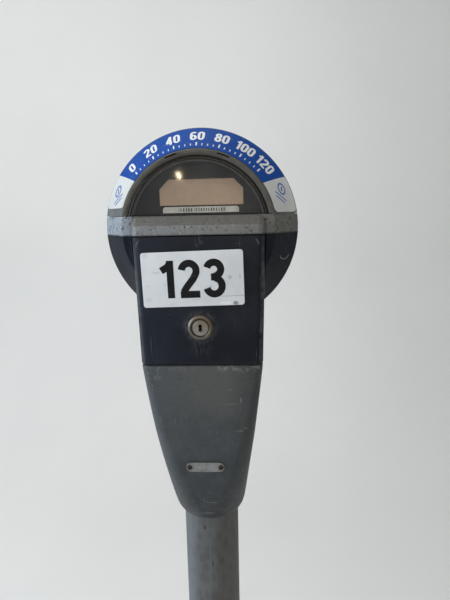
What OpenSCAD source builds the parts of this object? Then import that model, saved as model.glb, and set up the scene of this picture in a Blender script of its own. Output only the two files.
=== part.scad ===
// Single-space parking meter on a bolt-down post. Millimetres, +Z up.
// Origin: underside of the base flange, on the post axis. The display, the
// vault door and its lock face -Y (front); the coin entry faces +Y (rear).

/* [Base and post] */
// Side of the square base flange
flange_w = 200; // [190:5:240]
// Thickness of the base flange
flange_t = 12; // [10:1:16]
// Distance between neighbouring anchor holes
flange_pitch = 150; // [140:1:155]
// Diameter of an anchor hole
flange_hole_d = 18; // [14:1:20]
// Outside diameter of the post tube
post_d = 60.3; // [60:0.1:60.6]
// Wall of the post tube
post_wall = 3.6; // [2.9:0.1:5]
// Height of the centre of the head disc above the ground
head_h = 1200; // [900:10:1350]

/* [Head disc] */
// Outer radius of the disc
disc_r = 92.8; // [92:0.1:94]
// Half-width of the flat outer rim
rim_hw = 23; // [21:0.5:25]
// Radius where the sloping rim meets the flat face
face_r = 69; // [68.5:0.1:69.5]
// Half-depth of the head at its flat faces
head_hd = 56; // [55.8:0.1:56.5]
// Height of the seam between lid and housing, from the disc centre
seam_z = 12.9; // [12.8:0.1:13]
// Radius of the lid's hinge barrel
barrel_r = 5.5; // [5:0.1:5.6]

/* [Vault] */
// Half-width of the vault box at its top
vault_hw_top = 60.2; // [59:0.1:60.6]
// Half-width of the vault box at its bottom
vault_hw_bot = 57.6; // [56.5:0.1:58]
// Half-depth of the vault box
vault_hd = 63; // [62.8:0.1:63.4]
// Thickness of the vault door
door_t = 16; // [16:0.1:16.4]
// Width of the number plate
plate_w = 92; // [80:1:93]
// Height of the number plate
plate_h = 50; // [40:1:52]
// Diameter of the vault lock's cylinder
lock_d = 16; // [15:0.1:16.2]

/* [Display] */
// Width of the display opening
lcd_w = 79; // [70:1:80]
// Height of the display opening
lcd_h = 24; // [20:1:26]

/* [Hidden] */
$fn = 64;

// Heights from here on are measured from the disc centre, except for the
// flange, weld and post, which stand in the ground frame.
face_gap = 0.05;       // between faces that meet
vault_top = -4.8;
vault_bot = -124.6;
vault_in_bot = -118;   // floor inside the vault
floor_top = -18;       // floor of the mechanism bay, the vault's roof
floor_bot = -22;
gasket_t = 1;
cast_top = vault_bot - gasket_t;
cast_bot = -307;
post_top = -250;
post_r = post_d / 2;
post_foot = flange_t + 0.02;
corner_r = 8;          // upright edges of the vault and casting
bolt_xy = 24;          // housing bolts, off the axis in X and Y
frame_screw = [50, 34];  // mechanism screws, off the axis in X and Y
hinge_pin_r = 2.5;     // pins of the door and of the lid

// Vault door and its pivots, which follow the left side's taper
door_back = -vault_hd + door_t;
door_gap = 0.3;
hinge_x_top = -(vault_hw_top - corner_r);
hinge_x_bot = -(vault_hw_bot - corner_r);
hinge_y = -vault_hd + corner_r;
door_tilt = atan((vault_hw_top - vault_hw_bot) / (vault_top - vault_bot));
vault_lock_z = -88.5;

// Lid hinge and lid lock
lid_axis_y = 62;
lid_axis_z = 14;
lid_lock_z = -2;
collar_r = 9.5;        // barrels of both locks
housing_seam_z = seam_z - 0.2;

// Disc wall: outer and inner [radius, distance towards the front]
outer_wall = [[face_r, head_hd], [disc_r, rim_hw], [disc_r, -rim_hw], [face_r, -head_hd]];
inner_wall = [[67.3, 52], [88.8, 22], [88.8, -22], [67.3, -52]];

// ---- Helpers ----

// Places a piece drawn about the disc centre
module head() translate([0, 0, head_h]) children();
// Copies at -x and +x
module sides(x) for (sx = [-1, 1]) translate([sx * x, 0, 0]) children();
// Copies at the four corners of a rectangle
module corners(x, y) for (sx = [-1, 1]) for (sy = [-1, 1])
  translate([sx * x, sy * y, 0]) children();

// Turned shape about the head's front-to-back axis; a profile point is
// [radius, distance towards the front].
module turned(profile) rotate([90, 0, 0]) rotate_extrude($fn = 128) polygon(profile);
// Small turned parts that point to the front or to the rear
module stud_front(profile) rotate([90, 0, 0]) rotate_extrude() polygon(profile);
module stud_rear(profile) rotate([-90, 0, 0]) rotate_extrude() polygon(profile);

// Half-spaces, large enough to cut any part of the head
module above(z) translate([-150, -150, z]) cube([300, 300, 300]);
module below(z) above(z - 300);

// Rods along each axis
module xrod(radius, x_min, x_max, y = 0, z = 0)
  translate([x_min, y, z]) rotate([0, 90, 0]) cylinder(r = radius, h = x_max - x_min);
module yrod(radius, y_min, y_max, x = 0, z = 0)
  translate([x, y_min, z]) rotate([-90, 0, 0]) cylinder(r = radius, h = y_max - y_min);
module zrod(radius, z_min, z_max) translate([0, 0, z_min]) cylinder(r = radius, h = z_max - z_min);
// Rods on the axes of the lid hinge, lid lock and vault lock
module hinge_rod(radius, x_min, x_max) xrod(radius, x_min, x_max, lid_axis_y, lid_axis_z);
module lid_lock_rod(radius, x_min, x_max) xrod(radius, x_min, x_max, 0, lid_lock_z);
module vault_lock_rod(radius, y_min, y_max) yrod(radius, y_min, y_max, 0, vault_lock_z);

module block(x_min, x_max, y_min, y_max, z_min, z_max)
  translate([x_min, y_min, z_min]) cube([x_max - x_min, y_max - y_min, z_max - z_min]);
// The same block on the right and on the left
module block_pair(x_in, x_out, y_min, y_max, z_min, z_max) {
  block(x_in, x_out, y_min, y_max, z_min, z_max);
  block(-x_out, -x_in, y_min, y_max, z_min, z_max);
}

// Prism along Y from a drawing in X and Z
module prism_y(outline, y_min, y_max) translate([0, y_max, 0]) rotate([90, 0, 0])
  linear_extrude(height = y_max - y_min) polygon(outline);
// Prism along X from a drawing in Y and Z
module prism_x(outline, x_min, x_max) translate([x_min, 0, 0]) rotate([90, 0, 90])
  linear_extrude(height = x_max - x_min) polygon(outline);
// Closed outline from its right half
function symmetric(half) =
  concat(half, [for (i = [len(half) - 1:-1:0]) [-half[i][0], half[i][1]]]);

// Half-width of the tapered vault box at height z
function vault_hw(z) = vault_hw_bot +
  (vault_hw_top - vault_hw_bot) * (z - vault_bot) / (vault_top - vault_bot);
// Tapered outline in X and Z, widened by grow on each side
function taper(z_min, z_max, grow) =
  symmetric([[vault_hw(z_min) + grow, z_min], [vault_hw(z_max) + grow, z_max]]);
// Tapered box with round upright edges
module vault_block(y_min, y_max, z_min, z_max, grow = 0) hull()
  for (z = [z_min, z_max - 0.02]) for (sx = [-1, 1]) for (y = [y_min + corner_r, y_max - corner_r])
    translate([sx * (vault_hw(z) + grow - corner_r), y, z])
      cylinder(r = corner_r, h = 0.02, $fn = 32);

// Solid through closed rings of points, lowest ring first
module loft(rings) {
  count = len(rings[0]);
  levels = len(rings);
  polyhedron(points = [for (ring = rings) for (point = ring) point],
    faces = concat([[for (i = [0:count - 1]) i]],
      [for (k = [0:levels - 2]) for (i = [0:count - 1]) let (j = (i + 1) % count)
        [k * count + i, (k + 1) * count + i, (k + 1) * count + j]],
      [for (k = [0:levels - 2]) for (i = [0:count - 1]) let (j = (i + 1) % count)
        [k * count + i, (k + 1) * count + j, k * count + j]],
      [[for (i = [count - 1:-1:0]) (levels - 1) * count + i]]), convexity = 4);
}

module top_pivot()
  translate([hinge_x_top, hinge_y, vault_top]) rotate([0, -door_tilt, 0]) children();
module bottom_pivot()
  translate([hinge_x_bot, hinge_y, vault_bot]) rotate([0, -door_tilt, 0]) children();

// ---- Base and post ----

flange_corner_r = 12;

module base_flange() color("#6f7270") difference() {
  half = flange_w / 2;
  inset = half - flange_corner_r;
  union() {
    block(-inset, inset, -half, half, 0, flange_t);
    block(-half, half, -inset, inset, 0, flange_t);
    corners(inset, inset) zrod(flange_corner_r, 0, flange_t);
  }
  corners(flange_pitch / 2, flange_pitch / 2) zrod(flange_hole_d / 2, -1, flange_t + 1);
}

module post_weld() color("#5d5f5e") translate([0, 0, post_foot])
  rotate_extrude($fn = 96) polygon([[post_r + face_gap, 0], [post_r + 7, 0],
    [post_r + 5, 2.5], [post_r + 2.6, 5], [post_r + face_gap, 7]]);

module post() color("#6c6e6c") difference() {
  zrod(post_r, post_foot, head_h + post_top - 0.1);
  zrod(post_r - post_wall, flange_t - 1, head_h + post_top + 1);
}

// ---- Pedestal casting: rounded box at the top, round neck at the bottom ----

// [station, half-width] and [station, half-depth]; the station runs from 0 at
// the top to 1 at the bottom
cast_widths = [[0, 57.6], [0.12, 55.2], [0.26, 52.4], [0.4, 49.7], [0.54, 46.6],
  [0.7, 43.1], [0.84, 40.3], [0.93, 38.2], [0.97, 36.6], [1, 33.8]];
cast_depths = [[0, 62.6], [0.3, 60.6], [0.6, 56.4], [0.75, 52], [0.87, 45.5],
  [0.95, 39.2], [1, 33.8]];
cast_steps = 22;
corner_steps = 11;

// Ring at a station; its corners grow into a full round towards the bottom
function cast_ring(station) = let (
    half_w = lookup(station, cast_widths),
    half_d = lookup(station, cast_depths),
    blend = station * station,
    round_x = corner_r + (half_w - corner_r) * blend,
    round_y = corner_r + (half_d - corner_r) * blend,
    z = cast_top + (cast_bot - cast_top) * station)
  [for (q = [0:3]) for (i = [0:corner_steps])
    let (angle = 90 * q + 90 * i / (corner_steps + 0.001),
      sx = (q == 0 || q == 3) ? 1 : -1, sy = (q < 2) ? 1 : -1)
    [sx * (half_w - round_x) + round_x * cos(angle),
     sy * (half_d - round_y) + round_y * sin(angle), z]];

screw_angles = [62, 118];  // socket screws, round the post
socket_screw_z = -284;
socket_screw_r = 5;
id_z = -232.3;             // identity plate on the front face
id_rivet_x = 15.5;
id_face_hd = lookup((id_z - cast_top) / (cast_bot - cast_top), cast_depths);

module pedestal_casting() color("#4b5054") head() difference() {
  loft([for (k = [cast_steps:-1:0]) cast_ring(k / cast_steps)]);
  // socket for the post and the hollow above it
  zrod(post_r + 0.1, cast_bot - 1, post_top);
  rotate_extrude() polygon([[0, post_top - 1], [24, post_top - 1], [24, post_top + 6],
    [43, cast_top - 15], [43, cast_top - 12], [0, cast_top - 12]]);
  corners(bolt_xy, bolt_xy) zrod(4.5, cast_top - 14, cast_top + 1);
  bottom_pivot() zrod(hinge_pin_r + 0.05, -10.5, 3);
  for (angle = screw_angles) rotate([0, 0, angle])
    xrod(socket_screw_r + 0.05, 26, 70, 0, socket_screw_z);
  sides(id_rivet_x) yrod(1.65, -70, -46, 0, id_z);
}

module socket_screws() color("#3a3c3e") head() for (angle = screw_angles)
  rotate([0, 0, angle]) difference() {
    xrod(socket_screw_r, post_r + face_gap, 37.5, 0, socket_screw_z);
    translate([33, 0, socket_screw_z]) rotate([0, 90, 0]) cylinder(r = 2.9, h = 6, $fn = 6);
  }

module on_id_face() translate([0, -id_face_hd - 0.15, id_z]) rotate([5.6, 0, 0]) children();

module id_plate() color("#9a9c9b") head() on_id_face() difference() {
  rotate([90, 0, 0]) linear_extrude(height = 1) union() {
    square([27.5, 10.5], center = true);
    sides(13.75) circle(r = 5.25);
  }
  sides(id_rivet_x) yrod(1.85, -3, 3);
}

module id_plate_rivets() color("#6b4a34") head() sides(id_rivet_x) {
  on_id_face() translate([0, -1.04, 0])
    stud_front([[0, 0], [2.6, 0], [2.3, 0.7], [1.4, 1.2], [0, 1.4]]);
  yrod(1.5, -id_face_hd - 1.7, -47, 0, id_z);
}

// ---- Housing ----

module housing_gasket() color("#1c1d1e") head() difference() {
  vault_block(-vault_hd + 0.8, vault_hd - 0.8, cast_top + face_gap, vault_bot - face_gap, -0.6);
  zrod(20, -130, -120);
  corners(bolt_xy, bolt_xy) zrod(4.6, -130, -120);
  translate([hinge_x_bot, hinge_y, 0]) zrod(4, -130, -120);
}

module housing_bolts() color("#83868a") head() corners(bolt_xy, bolt_xy) {
  zrod(4, cast_top - 13, vault_in_bot - 0.5);
  translate([0, 0, cast_top - 18.2]) cylinder(r = 7.2, h = 6.1, $fn = 6);
}

ear_length = 18;

// Hinge ear on the rear of the housing, from x towards +X
module rear_ear(x) {
  hinge_rod(barrel_r, x, x + ear_length);
  prism_x([[lid_axis_y - barrel_r, 6], [63.5, 4], [lid_axis_y + barrel_r, lid_axis_z],
    [lid_axis_y - barrel_r, lid_axis_z]], x, x + ear_length);
}

// Shoulder over the vault, with its sloping ledges
module shoulder() intersection() {
  prism_x(symmetric([[63.5, vault_top], [63.5, 4.2], [58, 12], [56, housing_seam_z]]), -61, 61);
  union() {
    prism_y(symmetric([[vault_hw_top, vault_top], [vault_hw_top, 3], [vault_hw_top - 1.2, 7],
      [vault_hw_top - 4, 10.4], [vault_hw_top - 9, 13]]), -70, 70);
    block(-60, 60, -50, 50, vault_top, 13);
  }
}

module lid_lock_boss() lid_lock_rod(12.5, 78, 92);

// Bay for the mechanism, with pockets down both sides of the vault
module mechanism_bay() difference() {
  intersection() {
    turned(concat([[0, 52]], inner_wall, [[0, -52]]));
    below(30);
  }
  prism_y(taper(-130, floor_top, 0), -60, 60);
  lid_lock_boss();
}

module main_housing() color("#2a3040") head() difference() {
  union() {
    // lower part of the disc
    intersection() {
      turned(concat([[0, head_hd]], outer_wall, [[0, -head_hd]]));
      below(housing_seam_z);
    }
    vault_block(door_back + door_gap - corner_r * 2, vault_hd, vault_bot, vault_top + 1);
    shoulder();
    for (x = [-42, 24]) rear_ear(x);
    intersection() {
      lid_lock_boss();
      below(housing_seam_z);
    }
  }
  mechanism_bay();
  // recess for the door
  prism_y(taper(-130, vault_top, 0.7), -70, door_back + door_gap);
  // vault space and its front opening
  prism_y(symmetric([[50.5, vault_in_bot], [52.5, floor_bot]]), door_back + 6, 57);
  prism_y(symmetric([[44, -116], [46, -27]]), door_back - 1, door_back + 8);
  // coin passage through the vault roof
  block(-19.5, 19.5, 9, 25, floor_bot - 1, floor_top + 1);
  corners(frame_screw[0], frame_screw[1]) zrod(2.55, floor_bot - 1, floor_top + 1);
  corners(bolt_xy, bolt_xy) zrod(4.05, vault_bot - 1, vault_in_bot + 1);
  // door pivot, and the lid's hinge pin
  top_pivot() zrod(hinge_pin_r + 0.05, -3, 9);
  hinge_rod(hinge_pin_r + 0.05, -50, 50);
  // room for the lid's hinge barrel
  hinge_rod(barrel_r + 0.6, -23.9, 23.9);
  lid_lock_rod(collar_r + 0.05, 70, 100);
}

module coin_box_rails() color("#8d9094") head()
  block_pair(23, 33, -38, 50, vault_in_bot + 0.02, vault_in_bot + 3);

// ---- Vault door and lock ----

module vault_hinge_pins() color("#a5a8ac") head() {
  top_pivot() zrod(hinge_pin_r, -10, 8.5);
  bottom_pivot() zrod(hinge_pin_r, -10, 10);
}

module vault_door() color("#1d2230") head() difference() {
  vault_block(-vault_hd, door_back, vault_bot + door_gap, vault_top - door_gap);
  // hollow behind the skin, round the lock boss and two upright ribs
  difference() {
    prism_y(symmetric([[38, -115], [40, -15]]), -vault_hd + 5, door_back + 1);
    vault_lock_rod(15, -80, door_back + 2);
    block_pair(22.5, 25.5, -80, -50, -116, -14);
  }
  vault_lock_rod(collar_r + 0.05, -80, 0);
  top_pivot() zrod(hinge_pin_r + 0.08, -11, 3);
  bottom_pivot() zrod(hinge_pin_r + 0.08, -3, 11);
}

plate_corner_r = 2.5;

module number_plate() color("white") head()
  translate([-5.5, -vault_hd - face_gap, -43.4]) rotate([0, -1.3, 0]) rotate([90, 0, 0])
  linear_extrude(height = 1) union() {
    square([plate_w - 2 * plate_corner_r, plate_h], center = true);
    square([plate_w, plate_h - 2 * plate_corner_r], center = true);
    corners(plate_w / 2 - plate_corner_r, plate_h / 2 - plate_corner_r)
      circle(r = plate_corner_r);
  }

module vault_lock_collar() color("#9c968c") head() difference() {
  union() {
    vault_lock_rod(collar_r, -vault_hd - 0.5, door_back + 1);
    translate([0, -vault_hd - face_gap, vault_lock_z])
      stud_front([[0, 0], [11.8, 0], [11.2, 1.5], [9.8, 2.4], [0, 2.4]]);
  }
  vault_lock_rod(lock_d / 2 + 0.06, -80, 0);
}

module vault_lock_cylinder() color("#b7b2a8") head() difference() {
  union() {
    vault_lock_rod(lock_d / 2, -vault_hd - 1.8, door_back + 2);
    vault_lock_rod(4, door_back + 1, -37.5);
  }
  // keyway at the front, screw hole at the back
  block(-1.5, 1.5, -80, -46, vault_lock_z - 3.3, vault_lock_z + 3.3);
  vault_lock_rod(1.25, -46, -30);
}

module vault_lock_cam() color("#8a8d90") head() difference() {
  union() {
    vault_lock_rod(9, -40, -37.2);
    block(-5.5, 5.5, -40, -37.2, vault_lock_z, vault_lock_z + 49);
  }
  vault_lock_rod(4.05, -50, -30);
}

module vault_cam_screw() color("#6d7073") head() difference() {
  union() {
    vault_lock_rod(1.2, -43, -36.5);
    vault_lock_rod(5, -37.1, -34.8);
  }
  block(-6, 6, -35.6, -34, vault_lock_z - 0.6, vault_lock_z + 0.6);
}

// ---- Coin box ----

box_hw = 39;
box_front = -26;
box_rear = 44;
box_bot = vault_in_bot + 3.3;
box_top = -32;
box_wall = 1.5;
handle_x = 18;
handle_z = -56;

module coin_box() color("#9aa0a4") head() difference() {
  block(-box_hw, box_hw, box_front, box_rear, box_bot, box_top);
  block(-box_hw + box_wall, box_hw - box_wall, box_front + box_wall, box_rear - box_wall,
    box_bot + box_wall, box_top + 2);
  sides(handle_x) yrod(1.65, -30, -20, 0, handle_z);
}

module coin_box_lid() color("#7d8387") head() difference() {
  block(-box_hw, box_hw, box_front, box_rear, box_top + face_gap, -30.4);
  block(-21, 21, 8, 26, -34, -28);
}

module coin_box_handle() color("#3c4043") head() {
  sides(handle_x) {
    yrod(1.6, -34, -22, 0, handle_z);
    yrod(3.4, -24.4, -22.5, 0, handle_z);
    translate([0, -33, handle_z]) sphere(r = 2.2, $fn = 32);
  }
  xrod(2.2, -handle_x, handle_x, -33, handle_z);
}

// ---- Mechanism ----

module mechanism_frame() color("#9ea3a7") head() difference() {
  union() {
    // base and side plates
    block(-58, 58, -38, 38, floor_top + 0.1, floor_top + 3);
    block_pair(56, 58, -24, 38, floor_top + 1, 38);
    // front tabs for the display and rear tabs for the faceplate
    block_pair(50, 58, -28, -22, 20, 38);
    block_pair(50, 58, 36, 45.8, 17, 32);
    // stop for the button's spring
    block(24, 57, 32.8, 34.3, 20, 38);
  }
  // opening for the coins
  block(-19.5, 19.5, 7, 26, -30, 0);
  corners(frame_screw[0], frame_screw[1]) zrod(2.7, -30, 0);
  // lightening windows in the side plates
  for (y = [-12, 18]) xrod(8, -70, 70, y, 12);
}

module mechanism_screws() color("#b9bcc0") head() corners(frame_screw[0], frame_screw[1])
  difference() {
    union() {
      zrod(2.5, floor_bot + 0.5, floor_top + 4);
      zrod(4.6, floor_top + 3.05, floor_top + 6);
    }
    translate([0, 0, floor_top + 4.6]) cylinder(r = 2.3, h = 3, $fn = 6);
  }

lcd_x = 1.2;        // centre of the display opening
lcd_bot = 22.2;
lcd_chamfer = 9;    // its upper corners

// Display opening in X and Z, grown all round
function lcd_outline(grow) = let (
    left = lcd_x - lcd_w / 2 - grow,
    right = lcd_x + lcd_w / 2 + grow,
    low = lcd_bot - grow,
    high = lcd_bot + lcd_h + grow)
  [[left, low], [right, low], [right, high - lcd_chamfer], [right - lcd_chamfer, high],
   [left + lcd_chamfer, high], [left, high - lcd_chamfer]];

module display_mask() color("#2f3032") head() difference() {
  intersection() {
    yrod(66, -31, -29);
    above(14);
  }
  prism_y(lcd_outline(0), -33, -27);
  // two slots near the round edge
  for (angle = [-24, 24]) rotate([0, angle, 0]) block(-7, 7, -33, -27, 60.6, 62.4);
}

module lcd_panel() color("#a58c76") head() prism_y(lcd_outline(1.6), -28.9, -26.5);

module label_strip() color("#a7aaa9") head()
  prism_y([[-35.4, 15.2], [36.6, 15.2], [36.6, 19], [34.8, 20.8], [-33.6, 20.8], [-35.4, 19]],
    -31.5, -31.1);

module display_board() color("#27503a") head() difference() {
  union() {
    block(-49, 49, -25.5, -23.9, 15, 52);
    // components on its rear side
    block(-30, -12, -23.95, -21.5, 24, 36);
    block(6, 14, -23.95, -21.9, 20, 26);
    block(20, 40, -23.95, -20, 40, 46);
  }
  for (z = [18, 49]) sides(45) yrod(1.6, -30, -20, 0, z);
}

module control_board() color("#255037") head() {
  block(-41.6, -40, -20, 34, floor_top + 6, 40);
  // components on its right side
  block(-40.05, -37.4, -6, 10, 4, 20);
  block(-40.05, -38.4, 16, 26, -6, 4);
  block(-40.05, -35, 14, 30, 24, 30);
  for (y = [-14, -8]) xrod(2.6, -40.05, -32, y, 30);
}

cell_y = -9;
cell_z = -4.5;

module battery_holder() color("#26282a") head() difference() {
  block(-34, 34, -18, 0, floor_top + 3.1, -2);
  xrod(7.4, -32.5, 32.5, cell_y, cell_z);
  block(-32.5, 32.5, -16.4, -1.6, cell_z, 0);
}

// Ends in X of each cell: [body left, body right, terminal tip]
cell_ends = [[-30.6, -0.8, -0.1], [0.8, 30.6, 32]];

module battery_cells() color("#2f6fb0") head() for (ends = cell_ends) {
  xrod(7.1, ends[0], ends[1], cell_y, cell_z);
  xrod(2.4, ends[1] - 0.1, ends[2], cell_y, cell_z);
}

module coin_validator() color("#34373a") head() difference() {
  union() {
    block(-14, 14, 4, 27, floor_top + 3.1, 58);
    block(-20, -13.9, 8, 22, 4, 40);
  }
  // entry slot, exit passage and the slot that joins them
  block(-1.8, 1.8, 6, 30, 24, 60);
  block(-14.5, 14.5, 10, 24, -16, -8);
  block(-1.8, 1.8, 10, 24, -10, 30);
}

module coin_chute() color("#8f9498") head() difference() {
  block(-17.5, 17.5, 10.5, 23.5, -29.6, floor_top + 8);
  block(-16.3, 16.3, 11.7, 22.3, -31, 0);
}

// ---- Rear faceplate ----

plate_rear = 49;     // rear face of the faceplate
gate_y = 44.2;       // coin gate's pin
gate_z = 56;
gate_pin_r = 1;
button_x = 32;
button_z = 34;
lamp_x = 29.4;
lamp_z = 46;

module button_rod(radius, y_min, y_max) yrod(radius, y_min, y_max, button_x, button_z);

module rear_faceplate() color("#3b3e41") head() difference() {
  union() {
    intersection() {
      yrod(66.5, 46, plate_rear);
      block(-56, 56, 40, 50, 15, 64);
    }
    // lugs for the gate pin
    block_pair(5.6, 8, 42.2, 46.1, 52.5, 58);
  }
  // coin slot
  block(-1.9, 1.9, 40, 55, 23.5, 53);
  button_rod(4.05, 40, 55);
  sides(lamp_x) yrod(3.05, 40, 55, 0, lamp_z);
  xrod(gate_pin_r + 0.03, -12, 12, gate_y, gate_z);
}

module coin_entry_bezel() color("#c0c3c6") head() difference() {
  translate([0, plate_rear + face_gap, 38])
    stud_rear([[0, 0], [16.6, 0], [16.6, 2], [15, 3.8], [0, 3.8]]);
  block(-1.7, 1.7, 40, 60, 24, 52);
}

module coin_gate_pin() color("#b0b3b6") head() xrod(gate_pin_r, -8.5, 8.5, gate_y, gate_z);

module coin_gate() color("#a9adb0") head() difference() {
  union() {
    xrod(1.7, -5.3, 5.3, gate_y, gate_z);
    block(-4, 4, 43.6, 44.6, 28, 55.5);
  }
  xrod(gate_pin_r + 0.05, -12, 12, gate_y, gate_z);
}

// Cap, stem, inner collar and the guide inside the spring
module rear_button() color("#b5332b") head() {
  button_rod(7, 51.4, 54.6);
  button_rod(4, 44.9, 51.5);
  button_rod(6, 44.9, 45.9);
  button_rod(2.5, 39, 45);
}

coil_r = 4.6;
wire_r = 0.5;
coil_pitch = 1.7;
coil_y = 35.1;      // front end of the coil

// Section of the wire after turning through an angle
function coil_ring(angle) = [for (i = [0:7]) let (reach = coil_r + wire_r * cos(45 * i))
  [button_x + reach * cos(angle), coil_y + coil_pitch * angle / 360 + wire_r * sin(45 * i),
   button_z + reach * sin(angle)]];

// Four turns, 20 degrees to a step
module button_spring() color("#c9ccd0") head() loft([for (k = [72:-1:0]) coil_ring(k * 20)]);

module lamp_lenses() color("#c8402f") head() sides(lamp_x) {
  yrod(3, 44, 49.1, 0, lamp_z);
  translate([0, plate_rear + 0.02, lamp_z])
    stud_rear([[0, 0], [4, 0], [3.4, 1.4], [1.9, 2.4], [0, 2.7]]);
}

// ---- Lid ----

catch_screw_y = [22.5, 28.5];
catch_screw_z = 19;

module lid() color("#8a8d8e") head() difference() {
  union() {
    // shell: outer wall, closed rear, inner wall and the window's seat
    intersection() {
      turned(concat([[66, head_hd]], outer_wall, [[0, -head_hd], [0, -52],
        inner_wall[3], inner_wall[2], inner_wall[1], [68.6, 50.19], [68.6, 53], [66, 53]]));
      above(seam_z + 0.3);
    }
    // hinge barrel and its web
    hinge_rod(barrel_r, -23.6, 23.6);
    prism_x([[54, seam_z + 1.6], [lid_axis_y, lid_axis_z - barrel_r + 1.5],
      [lid_axis_y, lid_axis_z + barrel_r - 0.6], [54, 18.9]], -23.6, 23.6);
    // pad for the catch
    intersection() {
      turned([[0, 1], [90.5, 1], [90.5, -22], [68.5, -52], [0, -52]]);
      block(70, 92, 20, 31, seam_z + 0.5, 24);
    }
  }
  hinge_rod(hinge_pin_r + 0.08, -50, 50);
  // rear opening
  block(-46, 46, 50, 60, 19.4, 60);
  for (y = catch_screw_y) xrod(1.55, 68, 80, y, catch_screw_z);
}

module front_window() color([0.75, 0.8, 0.85, 0.35]) head() intersection() {
  turned([[0, 55.6], [63.6, 55.6], [65.6, 54.4], [65.7, 52.9], [68.4, 52.9], [68.4, 50.4],
    [62.4, 50.4], [62.2, 51.8], [61, 52.6], [0, 52.6]]);
  above(seam_z + 0.6);
}

module window_gasket() color("#1b1c1d") head() intersection() {
  turned([[63, 50.3], [68.2, 50.3], [68.2, 49.1], [63, 49.1]]);
  above(seam_z + 0.8);
}

module window_retainer() color("#8e9194") head() intersection() {
  turned([[62.6, 49], [68.6, 49], [68.6, 47.2], [62.6, 47.2]]);
  above(seam_z + 0.8);
}

module lid_seal() color("#151617") head() intersection() {
  turned([[70, 50.5], [90.6, 22.4], [90.6, -22.4], [70, -50.5], [70, -49.4], [89.2, -22.1],
    [89.2, 22.1], [70, 49.4]]);
  block(-95, 95, -60, 60, seam_z - 0.15, seam_z + 0.25);
}

// Band on the front slope of the rim, reaching lower on the right
module dial_band() color("#1f52a0") head() intersection() {
  turned([[70.2, head_hd - 1.42], [91.9, rim_hw + 1.49], [92.1, rim_hw + 1.75],
    [70.4, head_hd - 1.15]]);
  union() {
    above(19.2);
    block(0, 100, -60, 0, 14, 20);
  }
}

module lid_catch() color("#9b9ea1") head() difference() {
  union() {
    block(67, 69.9, 20, 31, 13.5, 24);
    block(67, 69.9, 27, 31, -14, 14);
    block(67, 69.9, 16, 31, -14, -9.5);
  }
  for (y = catch_screw_y) xrod(1.6, 60, 80, y, catch_screw_z);
}

module lid_catch_screws() color("#74777a") head() for (y = catch_screw_y) {
  xrod(1.5, 66, 78, y, catch_screw_z);
  xrod(2.8, 64.6, 66.95, y, catch_screw_z);
}

module lid_hinge_pin() color("#b3b6b9") head() hinge_rod(hinge_pin_r, -46, 46);

module hinge_pin_clips() color("#5b5e61") head() for (x = [-43.3, 42.3]) difference() {
  hinge_rod(4.2, x, x + 1);
  hinge_rod(hinge_pin_r + 0.02, -60, 60);
  block(-50, 50, lid_axis_y - 1.5, lid_axis_y + 1.5, lid_axis_z + 1, lid_axis_z + 9);
}

module lid_lock_cylinder() color("#b7b2a8") head() difference() {
  union() {
    lid_lock_rod(collar_r, 71.5, 92.2);
    lid_lock_rod(4, 64, 72);
  }
  block(80, 95, -1.4, 1.4, lid_lock_z - 3.2, lid_lock_z + 3.2);
}

module lid_lock_cam() color("#8a8d90") head() difference() {
  union() {
    lid_lock_rod(8, 66.2, 69.2);
    block(66.2, 69.2, -4.5, 4.5, lid_lock_z, lid_lock_z + 24);
  }
  lid_lock_rod(4.05, 50, 80);
}

module lid_lock_nut() color("#6d7073") head() difference() {
  translate([62.6, 0, lid_lock_z]) rotate([0, 90, 0]) cylinder(r = 6.8, h = 3.4, $fn = 6);
  lid_lock_rod(4.04, 50, 80);
}

base_flange();
post_weld();
post();
pedestal_casting();
socket_screws();
id_plate();
id_plate_rivets();
housing_gasket();
housing_bolts();
main_housing();
coin_box_rails();
vault_hinge_pins();
vault_door();
number_plate();
vault_lock_collar();
vault_lock_cylinder();
vault_lock_cam();
vault_cam_screw();
coin_box();
coin_box_lid();
coin_box_handle();
mechanism_frame();
mechanism_screws();
display_mask();
lcd_panel();
label_strip();
display_board();
control_board();
battery_holder();
battery_cells();
coin_validator();
coin_chute();
rear_faceplate();
coin_entry_bezel();
coin_gate_pin();
coin_gate();
rear_button();
button_spring();
lamp_lenses();
lid();
front_window();
window_gasket();
window_retainer();
lid_seal();
dial_band();
lid_catch();
lid_catch_screws();
lid_hinge_pin();
hinge_pin_clips();
lid_lock_cylinder();
lid_lock_cam();
lid_lock_nut();
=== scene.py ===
"""Parking meter: a round-topped coin head on a lower casting and a post.

Metres, +Z up. The front faces -Y and +X is on the right seen from the front. Unless noted, sizes are
head millimetres: measured from the centre of the head's disc, HEAD_Z metres above the CAD origin.
"""
import bpy
import bmesh
import math
import random
from functools import cached_property, partial
from mathutils import Matrix, Vector


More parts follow.
